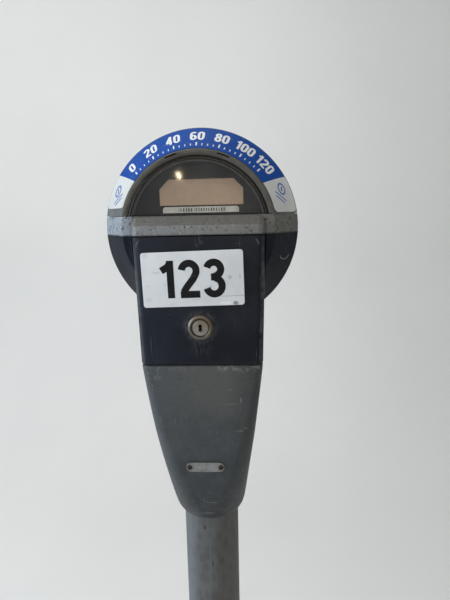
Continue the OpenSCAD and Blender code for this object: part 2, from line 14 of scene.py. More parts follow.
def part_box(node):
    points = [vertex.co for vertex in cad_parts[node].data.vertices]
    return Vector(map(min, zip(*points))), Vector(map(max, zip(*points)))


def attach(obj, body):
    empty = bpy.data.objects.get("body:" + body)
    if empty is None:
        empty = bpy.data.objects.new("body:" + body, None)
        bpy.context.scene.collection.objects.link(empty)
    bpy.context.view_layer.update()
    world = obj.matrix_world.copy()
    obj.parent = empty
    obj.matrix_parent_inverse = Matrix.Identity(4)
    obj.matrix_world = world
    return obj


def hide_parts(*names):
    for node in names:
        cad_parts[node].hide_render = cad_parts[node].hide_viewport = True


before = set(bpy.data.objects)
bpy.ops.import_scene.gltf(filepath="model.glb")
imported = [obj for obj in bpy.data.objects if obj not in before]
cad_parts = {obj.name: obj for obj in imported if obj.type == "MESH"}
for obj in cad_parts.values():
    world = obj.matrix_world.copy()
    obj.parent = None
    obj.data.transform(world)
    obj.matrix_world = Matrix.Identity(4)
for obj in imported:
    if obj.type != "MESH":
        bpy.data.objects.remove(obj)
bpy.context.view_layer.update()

random.seed(7)                     # fixed state for any code that draws numbers

MM = .001
# The head disc, seen from the side: flat faces, cones, then a straight rim
DISC_RADIUS = 92.8
DISC_HALF_RIM = 23                 # half the depth of the straight rim
FACE_RADIUS = 69                   # where the flat face meets the cone
FACE_Y = 56                        # half the depth between the flat faces
HEAD_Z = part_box("lid")[1].z - DISC_RADIUS / 1000.0

LID_SEAM = 13.2                    # lower edge of the lid
BODY_SEAM = 12.7                   # upper edge of the housing
HINGE = (62, 14)                   # y, z of the lid's hinge axis
HINGE_PIN = 3.2                    # radius cleared round that axis
VAULT_BOTTOM, VAULT_TOP = -124.6, -4.8
VAULT_HALF_BOTTOM, VAULT_HALF_TOP = 57.6, 60.2
VAULT_FRONT = -46.7                # y of the housing face behind the door
VAULT_CORNER = 8                   # radius of the upright corners
DOOR_FRONT = -63
LOCK_DROP = 88.5                   # vault lock below the disc centre
LOCK_Z = -LOCK_DROP


# ------------------------------------------------------------------ geometry helpers
def point(x, y, z):
    """Head millimetres to metres in the CAD frame."""
    return Vector((x * MM, y * MM, z * MM + HEAD_Z))


def axis_point(axis, pair, along):
    """Point at a distance along the named axis; pair holds the other two coordinates in order."""
    coords = list(pair)
    coords.insert("xyz".index(axis), along)
    return point(*coords)


def add_object(name, mesh, material, body, sharp_angle, replaces=None, weighted=False):
    mesh.name = name
    item = bpy.data.objects.new(name, mesh)
    bpy.context.scene.collection.objects.link(item)
    mesh.materials.clear()
    mesh.materials.append(MATERIALS[material])
    bm = bmesh.new()
    bm.from_mesh(mesh)
    limit = math.radians(sharp_angle)
    for face in bm.faces:
        face.smooth = True
    for edge in bm.edges:
        edge.smooth = len(edge.link_faces) == 2 and edge.calc_face_angle(3.2) < limit
    bm.to_mesh(mesh)
    bm.free()
    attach(item, body)
    if replaces:
        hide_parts(replaces)
    if weighted:
        modifier = item.modifiers.new("wn", "WEIGHTED_NORMAL")
        modifier.keep_sharp = True
        modifier.weight = 80


def to_mesh(bm, merge=1e-6):
    bmesh.ops.remove_doubles(bm, verts=bm.verts, dist=merge)
    bmesh.ops.recalc_face_normals(bm, faces=bm.faces)
    mesh = bpy.data.meshes.new("part")
    bm.to_mesh(mesh)
    bm.free()
    return mesh


def round_corners(outline, radius=0, segments=5):
    """Rounds a closed 2D outline. A corner's third number, if any, is its own radius."""
    rounded = []
    for i, (*corner, own) in enumerate([(*p, radius)[:3] for p in outline]):
        corner = Vector(corner)
        if own <= 0:
            rounded.append(tuple(corner))
            continue
        back = Vector(outline[i - 1][:2]) - corner
        ahead = Vector(outline[(i + 1) % len(outline)][:2]) - corner
        to_back, to_ahead = back.normalized(), ahead.normalized()
        half = to_back.angle(to_ahead) / 2
        reach = min(own / math.tan(half), back.length * .49, ahead.length * .49)
        fitted = reach * math.tan(half)
        centre = corner + (to_back + to_ahead).normalized() * (fitted / math.sin(half))
        start = corner + to_back * reach - centre
        end = corner + to_ahead * reach - centre
        turn = math.atan2(start.x * end.y - start.y * end.x, start.dot(end))
        for k in range(segments + 1):
            a = turn * k / segments
            rounded.append((centre.x + start.x * math.cos(a) - start.y * math.sin(a),
                            centre.y + start.x * math.sin(a) + start.y * math.cos(a)))
    return rounded


def skin(bm, rings, loop_rings, loop_profile=True):
    """Quads between neighbouring rings of vertices."""
    pairs = list(zip(rings, rings[1:]))
    if loop_rings:
        pairs.append((rings[-1], rings[0]))
    for near, far in pairs:
        count = len(near)
        for i in range(count if loop_profile else count - 1):
            j = (i + 1) % count
            bm.faces.new((near[i], near[j], far[j], far[i]))


def revolve(profile, segments, start=0.0, end=360.0):
    """Closed profile of (radius, y) turned about the head's Y axis; 0 degrees is +X, 90 is +Z."""
    bm = bmesh.new()
    full = abs(end - start) >= 360 - 1e-6
    rings = []
    for k in range(segments if full else segments + 1):
        a = math.radians(start + (end - start) * k / segments)
        rings.append([bm.verts.new(point(r * math.cos(a), y, r * math.sin(a)))
                      for r, y in profile])
    skin(bm, rings, full)
    if not full:
        bm.faces.new(rings[0])
        bm.faces.new(rings[-1][::-1])
    bmesh.ops.remove_doubles(bm, verts=bm.verts, dist=1e-7)
    bmesh.ops.dissolve_degenerate(bm, edges=bm.edges, dist=1e-8)
    bmesh.ops.recalc_face_normals(bm, faces=bm.faces)
    return to_mesh(bm)


def spin(profile, origin, axis, segments):
    """Profile of (radius, height) in mm turned about an axis through origin.

    The profile is closed unless both its ends lie on the axis.
    """
    axis = Vector(axis).normalized()
    reference = Vector((0, 0, 1)) if abs(axis.z) < .9 else Vector((1, 0, 0))
    across = reference.cross(axis).normalized()
    upward = axis.cross(across)
    bm = bmesh.new()
    rings = []
    for k in range(segments):
        a = 2 * math.pi * k / segments
        outward = across * math.cos(a) + upward * math.sin(a)
        rings.append([bm.verts.new(origin + (outward * r + axis * h) * MM) for r, h in profile])
    closed = profile[0][0] > 1e-9 or profile[-1][0] > 1e-9
    skin(bm, rings, True, closed)
    return to_mesh(bm, 1e-7)


def loft(rings, merge=1e-7):
    """Capped solid through rings of points."""
    bm = bmesh.new()
    rings = [[bm.verts.new(p) for p in ring] for ring in rings]
    skin(bm, rings, False)
    bm.faces.new(rings[0][::-1])
    bm.faces.new(rings[-1])
    return to_mesh(bm, merge)


def rectangle_ring(half_width, y0, y1, radius_x, radius_y, z, segments):
    """Rounded rectangle outline at height z."""
    middle, half_depth = (y0 + y1) / 2, (y1 - y0) / 2
    ring = []
    for quarter in range(4):
        side_x = 1 if quarter in (0, 3) else -1
        side_y = 1 if quarter < 2 else -1
        for i in range(segments + 1):
            a = math.radians(90 * quarter + 90 * i / segments)
            ring.append(point(side_x * (half_width - radius_x) + radius_x * math.cos(a),
                              middle + side_y * (half_depth - radius_y) + radius_y * math.sin(a),
                              z))
    return ring


def extrude(bm, near, far):
    """Solid between two matching outlines."""
    near = [bm.verts.new(p) for p in near]
    far = [bm.verts.new(p) for p in far]
    bm.faces.new(near)
    bm.faces.new(far[::-1])
    for i in range(len(near)):
        j = (i + 1) % len(near)
        bm.faces.new((near[i], far[i], far[j], near[j]))
    bmesh.ops.recalc_face_normals(bm, faces=bm.faces)


def prism(outline, axis, start, end, bevel=0.0):
    """Outline extruded along "y" (points are x, z) or "x" (points are y, z)."""
    bm = bmesh.new()
    extrude(bm, *([axis_point(axis, p, along) for p in outline] for along in (start, end)))
    if bevel:
        edges = [e for e in bm.edges if e.calc_face_angle(0) > math.radians(30)]
        bmesh.ops.bevel(bm, geom=edges, offset=bevel * MM, segments=2, profile=.5,
                        affect="EDGES", clamp_overlap=True)
    return to_mesh(bm, 1e-7)


def box(x, y, z):
    """Box between pairs of limits."""
    return prism([(x[0], z[0]), (x[1], z[0]), (x[1], z[1]), (x[0], z[1])], "y", *y)


def rod(axis, radius, start, end, centre, segments=64):
    """Cylinder along an axis; centre holds its other two coordinates."""
    length = end - start
    return spin([(0, 0), (radius, 0), (radius, length), (0, length)],
                axis_point(axis, centre, start), [float(axis == name) for name in "xyz"], segments)


def thin_plate(outline, matrix, bevel, both_rims):
    """Plate 1 mm thick, its back on the matrix's XZ plane; bevels the front or both rims."""
    bm = bmesh.new()
    extrude(bm, [(x * MM, 0, z * MM) for x, z in outline],
            [(x * MM, -.001, z * MM) for x, z in outline])
    rims = [e for e in bm.edges if e.calc_face_angle(0) > 1.0
            and (both_rims or all(v.co.y < -.0009 for v in e.verts))]
    bmesh.ops.bevel(bm, geom=rims, offset=bevel * MM, segments=3, profile=.5, affect="EDGES")
    bmesh.ops.transform(bm, matrix=matrix, verts=bm.verts)
    return to_mesh(bm)


def combine(operation, mesh, *others):
    """Applies one exact boolean after another; returns a new mesh."""
    for other in others:
        pair = [bpy.data.objects.new("tmp", source) for source in (mesh, other)]
        for item in pair:
            bpy.context.scene.collection.objects.link(item)
        modifier = pair[0].modifiers.new("b", "BOOLEAN")
        modifier.object, modifier.operation, modifier.solver = pair[1], operation, "EXACT"
        bpy.context.view_layer.update()
        graph = bpy.context.evaluated_depsgraph_get()
        mesh = bpy.data.meshes.new_from_object(pair[0].evaluated_get(graph))
        for item in pair:
            bpy.data.objects.remove(item)
        bm = bmesh.new()
        bm.from_mesh(mesh)
        bmesh.ops.remove_doubles(bm, verts=bm.verts, dist=2e-6)
        bmesh.ops.dissolve_degenerate(bm, edges=bm.edges, dist=1e-6)
        bm.to_mesh(mesh)
        bm.free()
    return mesh


cut = partial(combine, "DIFFERENCE")
join = partial(combine, "UNION")
overlap = partial(combine, "INTERSECT")


# ------------------------------------------------------------------ shader helpers
class Value:
    """A node output. Arithmetic on it adds Math nodes."""

    def __init__(self, shader, socket):
        self.shader, self.socket = shader, socket

    def __add__(self, other):
        return self.shader.math("ADD", self, other)

    def __radd__(self, other):
        return self.shader.math("ADD", other, self)

    def __sub__(self, other):
        return self.shader.math("SUBTRACT", self, other)

    def __rsub__(self, other):
        return self.shader.math("SUBTRACT", other, self)

    def __mul__(self, other):
        return self.shader.math("MULTIPLY", self, other)

    def __abs__(self):
        return self.shader.math("ABSOLUTE", self)

    def fract(self):
        return self.shader.math("FRACT", self)

    def max(self, other):
        return self.shader.math("MAXIMUM", self, other)

    def fade(self, zero, one):
        """Smooth ramp, 0 where the value is `zero` and 1 where it is `one`."""
        return self.shader.add("MapRange", {"Value": self, "From Min": zero, "From Max": one},
                               interpolation_type="SMOOTHSTEP")

    def tint(self, colour, amount):
        return self.shader.mix(self, colour, amount)


class Shader:
    """Builds the node tree of a material or world. Its x, y, z and radii are in metres."""

    def __init__(self, owner):
        owner.use_nodes = True
        self.owner, self.tree = owner, owner.node_tree

    def put(self, socket, value):
        if isinstance(value, Value):
            self.tree.links.new(value.socket, socket)
        elif socket.type == "RGBA":
            socket.default_value = (*value, 1.0)
        else:
            socket.default_value = value

    def add(self, kind, inputs=None, output=0, **settings):
        node = self.tree.nodes.new("ShaderNode" + kind)
        for name, setting in settings.items():
            setattr(node, name, setting)
        for key, value in (inputs or {}).items():
            self.put(node.inputs[key], value)
        return Value(self, node.outputs[output])

    def math(self, operation, *values):
        return self.add("Math", dict(enumerate(values)), operation=operation)

    def mix(self, base, over, amount):
        return self.add("Mix", {0: amount, 6: base, 7: over}, 2, data_type="RGBA")

    def mix_shader(self, amount, base, over):
        return self.add("MixShader", {0: amount, 1: base, 2: over})

    def split(self, vector):
        node = self.add("SeparateXYZ", {0: vector}).socket.node
        return [Value(self, socket) for socket in node.outputs]

    @cached_property
    def place(self):
        return self.add("TexCoord", output="Object")

    @cached_property
    def axes(self):
        return self.split(self.place)

    @cached_property
    def z(self):
        """Height above the disc centre; `height` is in the object's own frame."""
        return self.height - HEAD_Z

    x = property(lambda self: self.axes[0])
    y = property(lambda self: self.axes[1])
    height = property(lambda self: self.axes[2])

    def mapped(self, scale=(1, 1, 1), turn=(0, 0, 0), shift=(0, 0, 0)):
        return self.add("Mapping", {"Vector": self.place, "Scale": scale, "Rotation": turn,
                                    "Location": shift})

    def noise(self, scale, detail, rough, fade=None, at=None):
        """Noise, passed through `fade` when given."""
        value = self.add("TexNoise", {"Vector": at or self.place, "Scale": scale,
                                      "Detail": detail, "Roughness": rough}, "Fac")
        return value.fade(*fade) if fade else value

    def cells(self, scale, randomness=1.0, at=None):
        return self.add("TexVoronoi", {"Vector": at or self.place, "Scale": scale,
                                       "Randomness": randomness}, "Distance")

    def bricks(self, scale, mortar):
        """Brick joints laid out on the XZ plane."""
        at = self.mapped(scale=(scale,) * 3, turn=(math.pi / 2, 0, 0))
        return self.add("TexBrick", {"Vector": at, "Mortar Size": mortar}, "Fac")

    def scratches(self, scale, stretch, turn, fade, spread):
        """Thin lines, turned about Y and broken up by patches of scale `spread`."""
        at = self.mapped(scale=stretch, turn=(0, turn, 0))
        line = self.noise(scale=scale, detail=2, rough=.5, fade=fade, at=at)
        return line * self.noise(scale=spread, detail=2, rough=.5, fade=(.5, .62))

    def edge(self, radius, fade=(.03, .25)):
        """1 at convex and concave edges, 0 on flats."""
        soft = self.add("Bevel", {"Radius": radius}, samples=4)
        normal = self.add("NewGeometry", output="Normal")
        dot = self.add("VectorMath", {0: soft, 1: normal}, "Value", operation="DOT_PRODUCT")
        return (1 - dot).fade(*fade)

    def crevice(self, distance, fade=(.25, .8)):
        """1 deep in corners and gaps, 0 on open faces."""
        open_ = self.add("AmbientOcclusion", {"Distance": distance}, "AO", samples=6)
        return 1 - open_.fade(*fade)

    def length(self, a, b):
        return self.math("SQRT", a * a + b * b)

    def radius(self, x, z, squeeze=(1, 1)):
        """Distance in the XZ plane from a point in head mm, each axis scaled by squeeze."""
        return self.length((self.x - x * MM) * squeeze[0], (self.z - z * MM) * squeeze[1])

    def lock_radius(self):
        """Height above the vault lock's centre, and distance from it."""
        lock_z = self.z + LOCK_DROP * MM
        return lock_z, self.length(self.x, lock_z)

    def blob(self, x, z, radius, squeeze, ragged, scale):
        """Soft spot in head mm; `ragged` is the size of its edge noise, `scale` the noise's."""
        wander = (self.noise(scale=scale, detail=3, rough=.6) - .5) * (radius * MM * ragged * 2)
        return (self.radius(x, z, squeeze) + wander).fade(radius * MM, radius * .00035)

    def principled(self, color, rough, bump, metal=0.0, coat=0.0, coat_rough=.2, spec=.5,
                   glow=None):
        """bump is (height, strength, distance); glow is the strength of its own colour."""
        height, strength, distance = bump
        normal = self.add("Bump", {"Height": height, "Strength": strength, "Distance": distance})
        inputs = {"Base Color": color, "Roughness": rough, "Metallic": metal, "Normal": normal,
                  "Coat Weight": coat, "Coat Roughness": coat_rough, "Specular IOR Level": spec}
        if glow:
            inputs.update({"Emission Color": color, "Emission Strength": glow})
        return self.add("BsdfPrincipled", inputs)

    def finish(self, shader):
        output = self.tree.nodes.new("ShaderNodeOutputMaterial")
        self.put(output.inputs["Surface"], shader)
        return self.owner

    def surface(self, **look):
        return self.finish(self.principled(**look))


def start(name):
    mat = Shader(bpy.data.materials.new(name))
    mat.tree.nodes.clear()
    return mat


# ------------------------------------------------------------------ shared finishes
def grime(mat, color, amount, scale, dark):
    dirt = mat.noise(scale=scale, detail=5, rough=.65, fade=(.45, .75))
    return color.tint(dark, dirt * amount)


def bare_zinc(mat, warm, cold):
    """Colour, roughness and height of worn, pitted bare die casting."""
    broad = mat.noise(scale=16, detail=5, rough=.6)
    color = mat.mix(warm, cold, broad.fade(.35, .68))
    fine = mat.noise(scale=420, detail=3, rough=.7)
    color = color.tint((.11, .105, .09), fine.fade(.45, .62) * .35)
    pits = 1 - mat.cells(scale=230).fade(.10, .24)
    pits = pits * mat.noise(scale=60, detail=3, rough=.6, fade=(.52, .60))
    color = color.tint((.045, .043, .038), pits * .85)
    lines = mat.scratches(scale=700, stretch=(.06, 1, 1), turn=.5, fade=(.60, .64), spread=50)
    lines = lines.max(mat.scratches(scale=800, stretch=(1, 1, .05), turn=.9, fade=(.61, .64),
                                    spread=70))
    color = color.tint((.46, .45, .41), lines * .65)
    return color, .42 + broad * .22, fine * .35 + pits * -1.2 + lines * -.4


def navy(mat):
    """Colour, roughness and height of dark navy enamel with scuffs; lighter towards the left, which
    is painted light.
    """
    color = mat.mix((.0082, .0098, .0150), (.0118, .0140, .0200),
                    mat.noise(scale=9, detail=4, rough=.6, fade=(.3, .7)))
    dust = mat.noise(scale=900, detail=2, rough=.6, fade=(.66, .76))
    color = color.tint((.12, .125, .135), dust * .35)
    lines = mat.scratches(scale=520, stretch=(1, 1, .05), turn=.12, fade=(.655, .70), spread=26)
    lines = lines.max(mat.scratches(scale=620, stretch=(.06, 1, 1), turn=-.4, fade=(.665, .70),
                                    spread=34))
    color = color.tint((.16, .165, .175), lines * .32)
    film = mat.noise(scale=24, detail=5, rough=.65, fade=(.42, .7))
    color = color.tint((.075, .08, .09), film * .10)
    # Painted light: lighter and bluer towards the left, where the window light falls
    left = mat.x.fade(.02, -.08)
    color = color.tint((.022, .030, .046), left * .5)
    height = mat.noise(scale=300, detail=3, rough=.5) * .25 + lines * -.5
    return color, .40 + film * .22, height


# ------------------------------------------------------------------ materials
def housing_material():
    """Navy paint below a ragged line under the shoulder, bare zinc above it."""
    mat = start("housing_paint_and_bare_zinc")
    paint, paint_rough, paint_height = navy(mat)
    zinc, zinc_rough, zinc_height = bare_zinc(mat, (.235, .225, .190), (.20, .215, .225))
    line = mat.z + (mat.noise(scale=220, detail=3, rough=.6) - .5) * .0016
    bare = line.fade(-.0048, -.0040)
    slope = mat.split(mat.add("NewGeometry", output="True Normal"))[2].fade(.12, .55)
    # Painted light: the upright front face of the ledge is lighter than the slope above it
    ledge = mat.y.fade(-.0625, -.0630) * (1 - slope)
    zinc = zinc.tint((.33, .33, .325), ledge * .50)
    zinc = zinc.tint((.108, .098, .082), slope * .72)
    # Painted reflection: pale blue on the left flank of the bare metal, where the window light falls
    left = mat.x.fade(-.058, -.064) * mat.y.fade(.020, -.030) * (1 - slope)
    zinc = zinc.tint((.36, .41, .47), left * .75)
    # Pits, knocks and bright flecks
    chips = (mat.noise(scale=300, detail=4, rough=.75, fade=(.54, .62))
             * mat.noise(scale=75, detail=3, rough=.6, fade=(.40, .56)))
    zinc = zinc.tint((.045, .042, .038), chips * (.9 - slope * .45))
    glints = (mat.noise(scale=420, detail=4, rough=.75, fade=(.60, .68),
                        at=mat.mapped(shift=(3, 1, 2)))
              * mat.noise(scale=80, detail=3, rough=.6, fade=(.46, .6),
                          at=mat.mapped(shift=(1, 5, 0))))
    zinc = zinc.tint((.50, .50, .48), glints * .55)
    edge = mat.edge(radius=.0011, fade=(.03, .22))
    worn = edge * mat.noise(scale=70, detail=4, rough=.7, fade=(.38, .58))
    # Painted shade: the paint on the far left flank is darkened
    left_side = mat.x.fade(-.060, -.066) * mat.y.fade(.03, -.01)
    paint = paint.tint((.0045, .0070, .0130), left_side * .60)
    paint = paint.tint((.15, .152, .148), worn * .6)
    # Painted highlight: the bare metal is lighter along every edge
    zinc = zinc.tint((.34, .33, .30), edge * .5)
    # Painted shade: the bare metal is darker towards the right
    right = mat.x.fade(-.03, .07)
    zinc = zinc.tint((.075, .073, .068), right * .35)
    # Darker line along the upper edge of the paint
    paint_edge_line = abs(line + .0042).fade(.0012, .0)
    color = mat.mix(paint, zinc, bare).tint((.03, .03, .028), paint_edge_line * .6)
    # Curved mark on the lower right of the disc
    arc = abs(mat.radius(78.6, -24.9) - .0044).fade(.0008, .0002)
    arc = arc * (mat.x.fade(.0735, .0750) * mat.z.fade(-.0246, -.0262))
    arc = arc * mat.y.fade(-.020, -.030)
    color = color.tint((.30, .31, .32), arc * .5)
    # Painted shade: darker in corners and gaps
    color = color.tint((.012, .012, .012), mat.crevice(distance=.007) * .80)
    painted = 1 - bare
    return mat.surface(
        color=color, rough=paint_rough * painted + zinc_rough * bare,
        metal=bare * (.55 - slope * .3), spec=.09 + bare * .39,
        bump=(paint_height * painted + (zinc_height - chips * .8) * bare, .4, .0004))


def lid_material():
    mat = start("lid_bare_casting")
    color, rough, height = bare_zinc(mat, (.17, .165, .145), (.145, .16, .175))
    worn = (mat.edge(radius=.0010, fade=(.03, .22))
            * mat.noise(scale=60, detail=3, rough=.6, fade=(.35, .6)))
    color = color.tint((.34, .335, .31), worn)
    color = grime(mat, color, amount=.35, scale=22, dark=(.02, .02, .018))
    # Browned flat face round the window
    radius = mat.radius(0, 0)
    face = radius.fade(.0712, .0702) * mat.y.fade(-.0535, -.0550)
    brown = mat.mix((.082, .074, .062), (.115, .106, .09),
                    mat.noise(scale=90, detail=4, rough=.6, fade=(.35, .7)))
    color = color.tint(brown, face * .92)
    # Painted shade: darker in corners and gaps
    color = color.tint((.014, .013, .012), mat.crevice(distance=.004) * .8)
    # Painted shade: the floor of the two slots above the window painted near black
    slots = abs(radius - .06805).fade(.00085, .00075) * mat.y.fade(-.0558, -.0555)
    slots = slots * mat.y.fade(-.0530, -.0535)
    color = color.tint((.004, .004, .004), slots * .95)
    return mat.surface(color=color, rough=rough, metal=.5 - face * .35,
                       bump=(height, .3, .0004), spec=.35)


def door_material():
    mat = start("door_navy_enamel")
    color, rough, height = navy(mat)
    wear = (mat.edge(radius=.0016, fade=(.015, .16))
            * mat.noise(scale=55, detail=5, rough=.7, fade=(.36, .60)))
    # Painted highlight: a paler upright line where the round edge meets the flat, following the
    # door's taper
    inward = .0596 + (mat.z + .0048) * .0309 - abs(mat.x + 0.0)
    upright_highlight = (abs(inward - .0012).fade(.0022, .0004)
           * mat.noise(scale=90, detail=4, rough=.7, fade=(.30, .66)))
    color = color.tint((.17, .175, .175), wear.max(upright_highlight * .75) * .5)
    # Rubbed halo round the lock, and scratches below it
    lock_z, radius = mat.lock_radius()
    halo = (radius.fade(.0185, .0115)
            * mat.noise(scale=160, detail=4, rough=.7, fade=(.3, .7)))
    below = abs(mat.x).fade(.013, .003) * abs(lock_z + .019).fade(.014, .002)
    below = below * mat.noise(scale=500, detail=4, rough=.7, fade=(.40, .75),
                              at=mat.mapped(scale=(1, 1, .3)))
    color = color.tint((.15, .148, .145), halo.max(below * .6) * .45)
    # Painted light: lighter towards the top of the door
    top = mat.z.fade(-.034, -.006)
    color = color.tint((.021, .0225, .0275), top * .45)
    # Scuffed patch and a short dark upright mark at the top centre
    scuff = mat.blob(.5, -10.5, 6.0, squeeze=(1.25, .85), ragged=.8, scale=260)
    scuff = scuff * mat.noise(scale=900, detail=3, rough=.6, fade=(.50, .62),
                              at=mat.mapped(scale=(1, 1, .22), turn=(0, .35, 0)))
    color = color.tint((.13, .135, .15), scuff * .5)
    mark_x = -.0006
    mark = abs(mat.x - mark_x).fade(.0011, .0004) * mat.z.fade(-.0098, -.0085)
    color = color.tint((.006, .006, .007), mark * .7)
    # Painted highlights: pale arcs in the two top corners, where the rounded corners catch the light
    for x, side in ((-49.6, -1), (48.0, 1)):
        arc = abs(mat.radius(x, -13.6) - .0058).fade(.0007, .0002)
        corner = ((mat.x - x * MM) * side).fade(.0012, .0028) * mat.z.fade(-.0148, -.0128)
        corner = corner * mat.noise(scale=420, detail=3, rough=.6, fade=(.40, .60))
        color = color.tint((.26, .27, .28), arc * corner * .42)
    # Painted shade: darker in corners and gaps
    color = color.tint((.004, .004, .005), mat.crevice(distance=.004) * .7)
    return mat.surface(color=color, rough=rough, bump=(height, .3, .0003), spec=.17)


def casting_material():
    mat = start("casting_grey_worn_paint")
    color = mat.mix((.038, .045, .051), (.056, .062, .066),
                    mat.noise(scale=11, detail=5, rough=.62, fade=(.3, .7)))
    # Painted light and shade: lighter towards the top, darker towards the foot
    upper = mat.z.fade(-.235, -.135)
    color = color.tint((.094, .098, .096), upper * .75)
    foot = mat.z.fade(-.225, -.300)
    color = color.tint((.021, .024, .028), foot * .75)
    warm = mat.blob(12, -140, 42, squeeze=(1, .9), ragged=.5, scale=40)
    color = color.tint((.098, .097, .082), warm * .45)
    mottle = mat.noise(scale=95, detail=5, rough=.7, fade=(.45, .62))
    color = color.tint((.10, .104, .10), mottle * .22)
    # Painted reflection: bluish towards the left, where the window light falls
    left = mat.x.fade(-.012, -.055)
    color = color.tint((.058, .074, .094), left * .40)
    # Painted shade: darker towards the right
    right = mat.x.fade(.020, .050)
    color = color.tint((.030, .030, .029), right * .55)
    grain = mat.noise(scale=650, detail=3, rough=.7)
    color = color.tint((.016, .018, .020), grain.fade(.52, .66) * .25)
    peel = (1 - mat.cells(scale=330).fade(.16, .34)) * (upper * .5)
    color = color.tint((.13, .14, .14), peel * .35)
    wear = mat.scratches(scale=560, stretch=(.05, 1, 1), turn=.2, fade=(.655, .69), spread=30)
    wear = wear.max(mat.scratches(scale=640, stretch=(1, 1, .05), turn=.35, fade=(.66, .70),
                                  spread=30)) * .4
    # Worn rim at the top, heaviest on the right
    rim = (mat.z.fade(-.1335, -.1265)
           * mat.noise(scale=130, detail=4, rough=.75, fade=(.45, .62)))
    wear = wear.max(rim * (.18 + mat.x.fade(.0, .022) * .42))
    # Knocks: three places down the right-hand side, one at the top left
    knock = partial(mat.blob, scale=420)
    knocks = (
        (knock(36.2, -160.5, 2.6, squeeze=(2.6, .75), ragged=.7), .5),
        (knock(34.6, -192.4, 3.0, squeeze=(.55, 2.6), ragged=.8)
         .max(knock(40.5, -189.5, 2.2, squeeze=(.7, 1.8), ragged=.8)), .30),
        (knock(36.6, -239.5, 1.6, squeeze=(2.4, .8), ragged=.7), .35),
        (mat.blob(-43, -137, 4.5, squeeze=(.8, 1.3), ragged=.8, scale=300) * .5, .3),
    )
    for spot, amount in knocks:
        wear = wear.max(spot * amount)
    front = mat.y.fade(.02, -.01)
    wear = wear * (.35 + front * .65)
    color = color.tint((.30, .305, .30), wear * .85)
    color = grime(mat, color, amount=.28, scale=20, dark=(.015, .016, .017))
    # Painted shade: darker in corners and gaps
    color = color.tint((.020, .016, .012), mat.crevice(distance=.0035, fade=(.3, .85)) * .85)
    return mat.surface(color=color, rough=.44 + mat.noise(scale=40, detail=3, rough=.6) * .16,
                       bump=(grain * .55 + mottle * .25 + peel * .5, .42, .0005), spec=.34)


def post_material():
    mat = start("post_weathered_galvanised")
    streak = mat.noise(scale=60, detail=4, rough=.65, at=mat.mapped(scale=(1, 1, .07)))
    color = mat.mix((.082, .084, .082), (.132, .135, .134), streak.fade(.32, .70))
    spangle = mat.cells(scale=120, at=mat.mapped(scale=(1, 1, .6))).fade(.25, .6)
    color = color.tint((.20, .205, .21), spangle * .22)
    # Painted reflection: bluish towards the left, where the window light falls
    left = mat.x.fade(-.010, -.026)
    color = color.tint((.15, .18, .21), left * .5)
    # Brown stains; their weighting towards the right adds painted shade
    brown = (mat.noise(scale=26, detail=5, rough=.7, fade=(.46, .60),
                       at=mat.mapped(scale=(1, 1, .35)))
             * (.25 + mat.x.fade(-.022, .030) * .75))
    color = color.tint((.062, .048, .034), brown * .6)
    marks = mat.blob(-5.6, -321, 2.6, squeeze=(1, .8), ragged=.6, scale=300).max(
        mat.blob(2.2, -366, 1.6, squeeze=(1.6, .28), ragged=.6, scale=300) * .8)
    color = color.tint((.012, .012, .012), marks * .75)
    spots = ((1 - mat.cells(scale=85, at=mat.mapped(scale=(1, 1, .22))).fade(.05, .16))
             * mat.noise(scale=34, detail=3, rough=.6, fade=(.5, .6)))
    color = color.tint((.03, .028, .025), spots * .7)
    low_rust = (mat.height.fade(.16, .02)
                * mat.noise(scale=40, detail=5, rough=.7, fade=(.35, .62)))
    color = color.tint((.11, .06, .032), low_rust * .7)
    # Painted shade: darker in corners and gaps
    color = color.tint((.02, .018, .015), mat.crevice(distance=.0045) * .5)
    neck = mat.z.fade(-.350, -.312)
    color = color.tint((.19, .195, .19), neck * .12)
    # Painted shade: darker and browner towards the right
    right = mat.x.fade(-.006, .020)
    color = color.tint((.085, .070, .055), right * .30)
    height = mat.noise(scale=500, detail=3, rough=.7) * .4 + streak * .3
    return mat.surface(color=color, rough=.42 + streak * .22, metal=.28,
                       bump=(height, .3, .0004), spec=.4)


def print_material(name, base, smudge, rough, dirt, spec=.22, lines=.25):
    """Printed film: dirt and lines are the amounts of smudging and scratching."""
    mat = start(name)
    cloud = mat.noise(scale=30, detail=5, rough=.6)
    color = mat.mix(base, smudge, cloud.fade(.42, .72) * dirt)
    flecks = ((1 - mat.cells(scale=300).fade(.04, .09))
              * mat.noise(scale=90, detail=3, rough=.6, fade=(.52, .6)))
    color = color.tint((.12, .12, .11), flecks * .6)
    scratch = mat.scratches(scale=700, stretch=(.06, 1, 1), turn=.25, fade=(.65, .69), spread=40)
    color = color.tint((.7, .7, .7), scratch * lines)
    height = mat.noise(scale=260, detail=2, rough=.5) + scratch * -.5
    return mat.surface(color=color, rough=rough + cloud * .16, bump=(height, .06, .0003),
                       spec=spec)


# Marks on the number plate: x, z, radius, squeeze in x and z, amount, colour
PLATE_SPOTS = (
    (28.2, -42.2, 2.7, (1, 1.1), .42, (.25, .26, .26)),
    (37.0, -41.0, 2.0, (2.6, .8), .40, (.25, .26, .26)),
    (-38, -37.5, 3.2, (.6, 2.2), .22, (.3, .3, .3)),
    (-31, -48, 1.6, (1, 1), .2, (.3, .3, .3)),
    (10.5, -50.5, 3.0, (.7, 2.0), .25, (.3, .3, .3)),
    (24.5, -65.8, 6.4, (.9, 2.2), .9, (.93, .93, .92)),
    (33.0, -65.6, 3.3, (1, 1.2), .75, (.10, .115, .115)),
    (-49.0, -21.5, 3, (.6, .6), .2, (.3, .31, .28)),
)


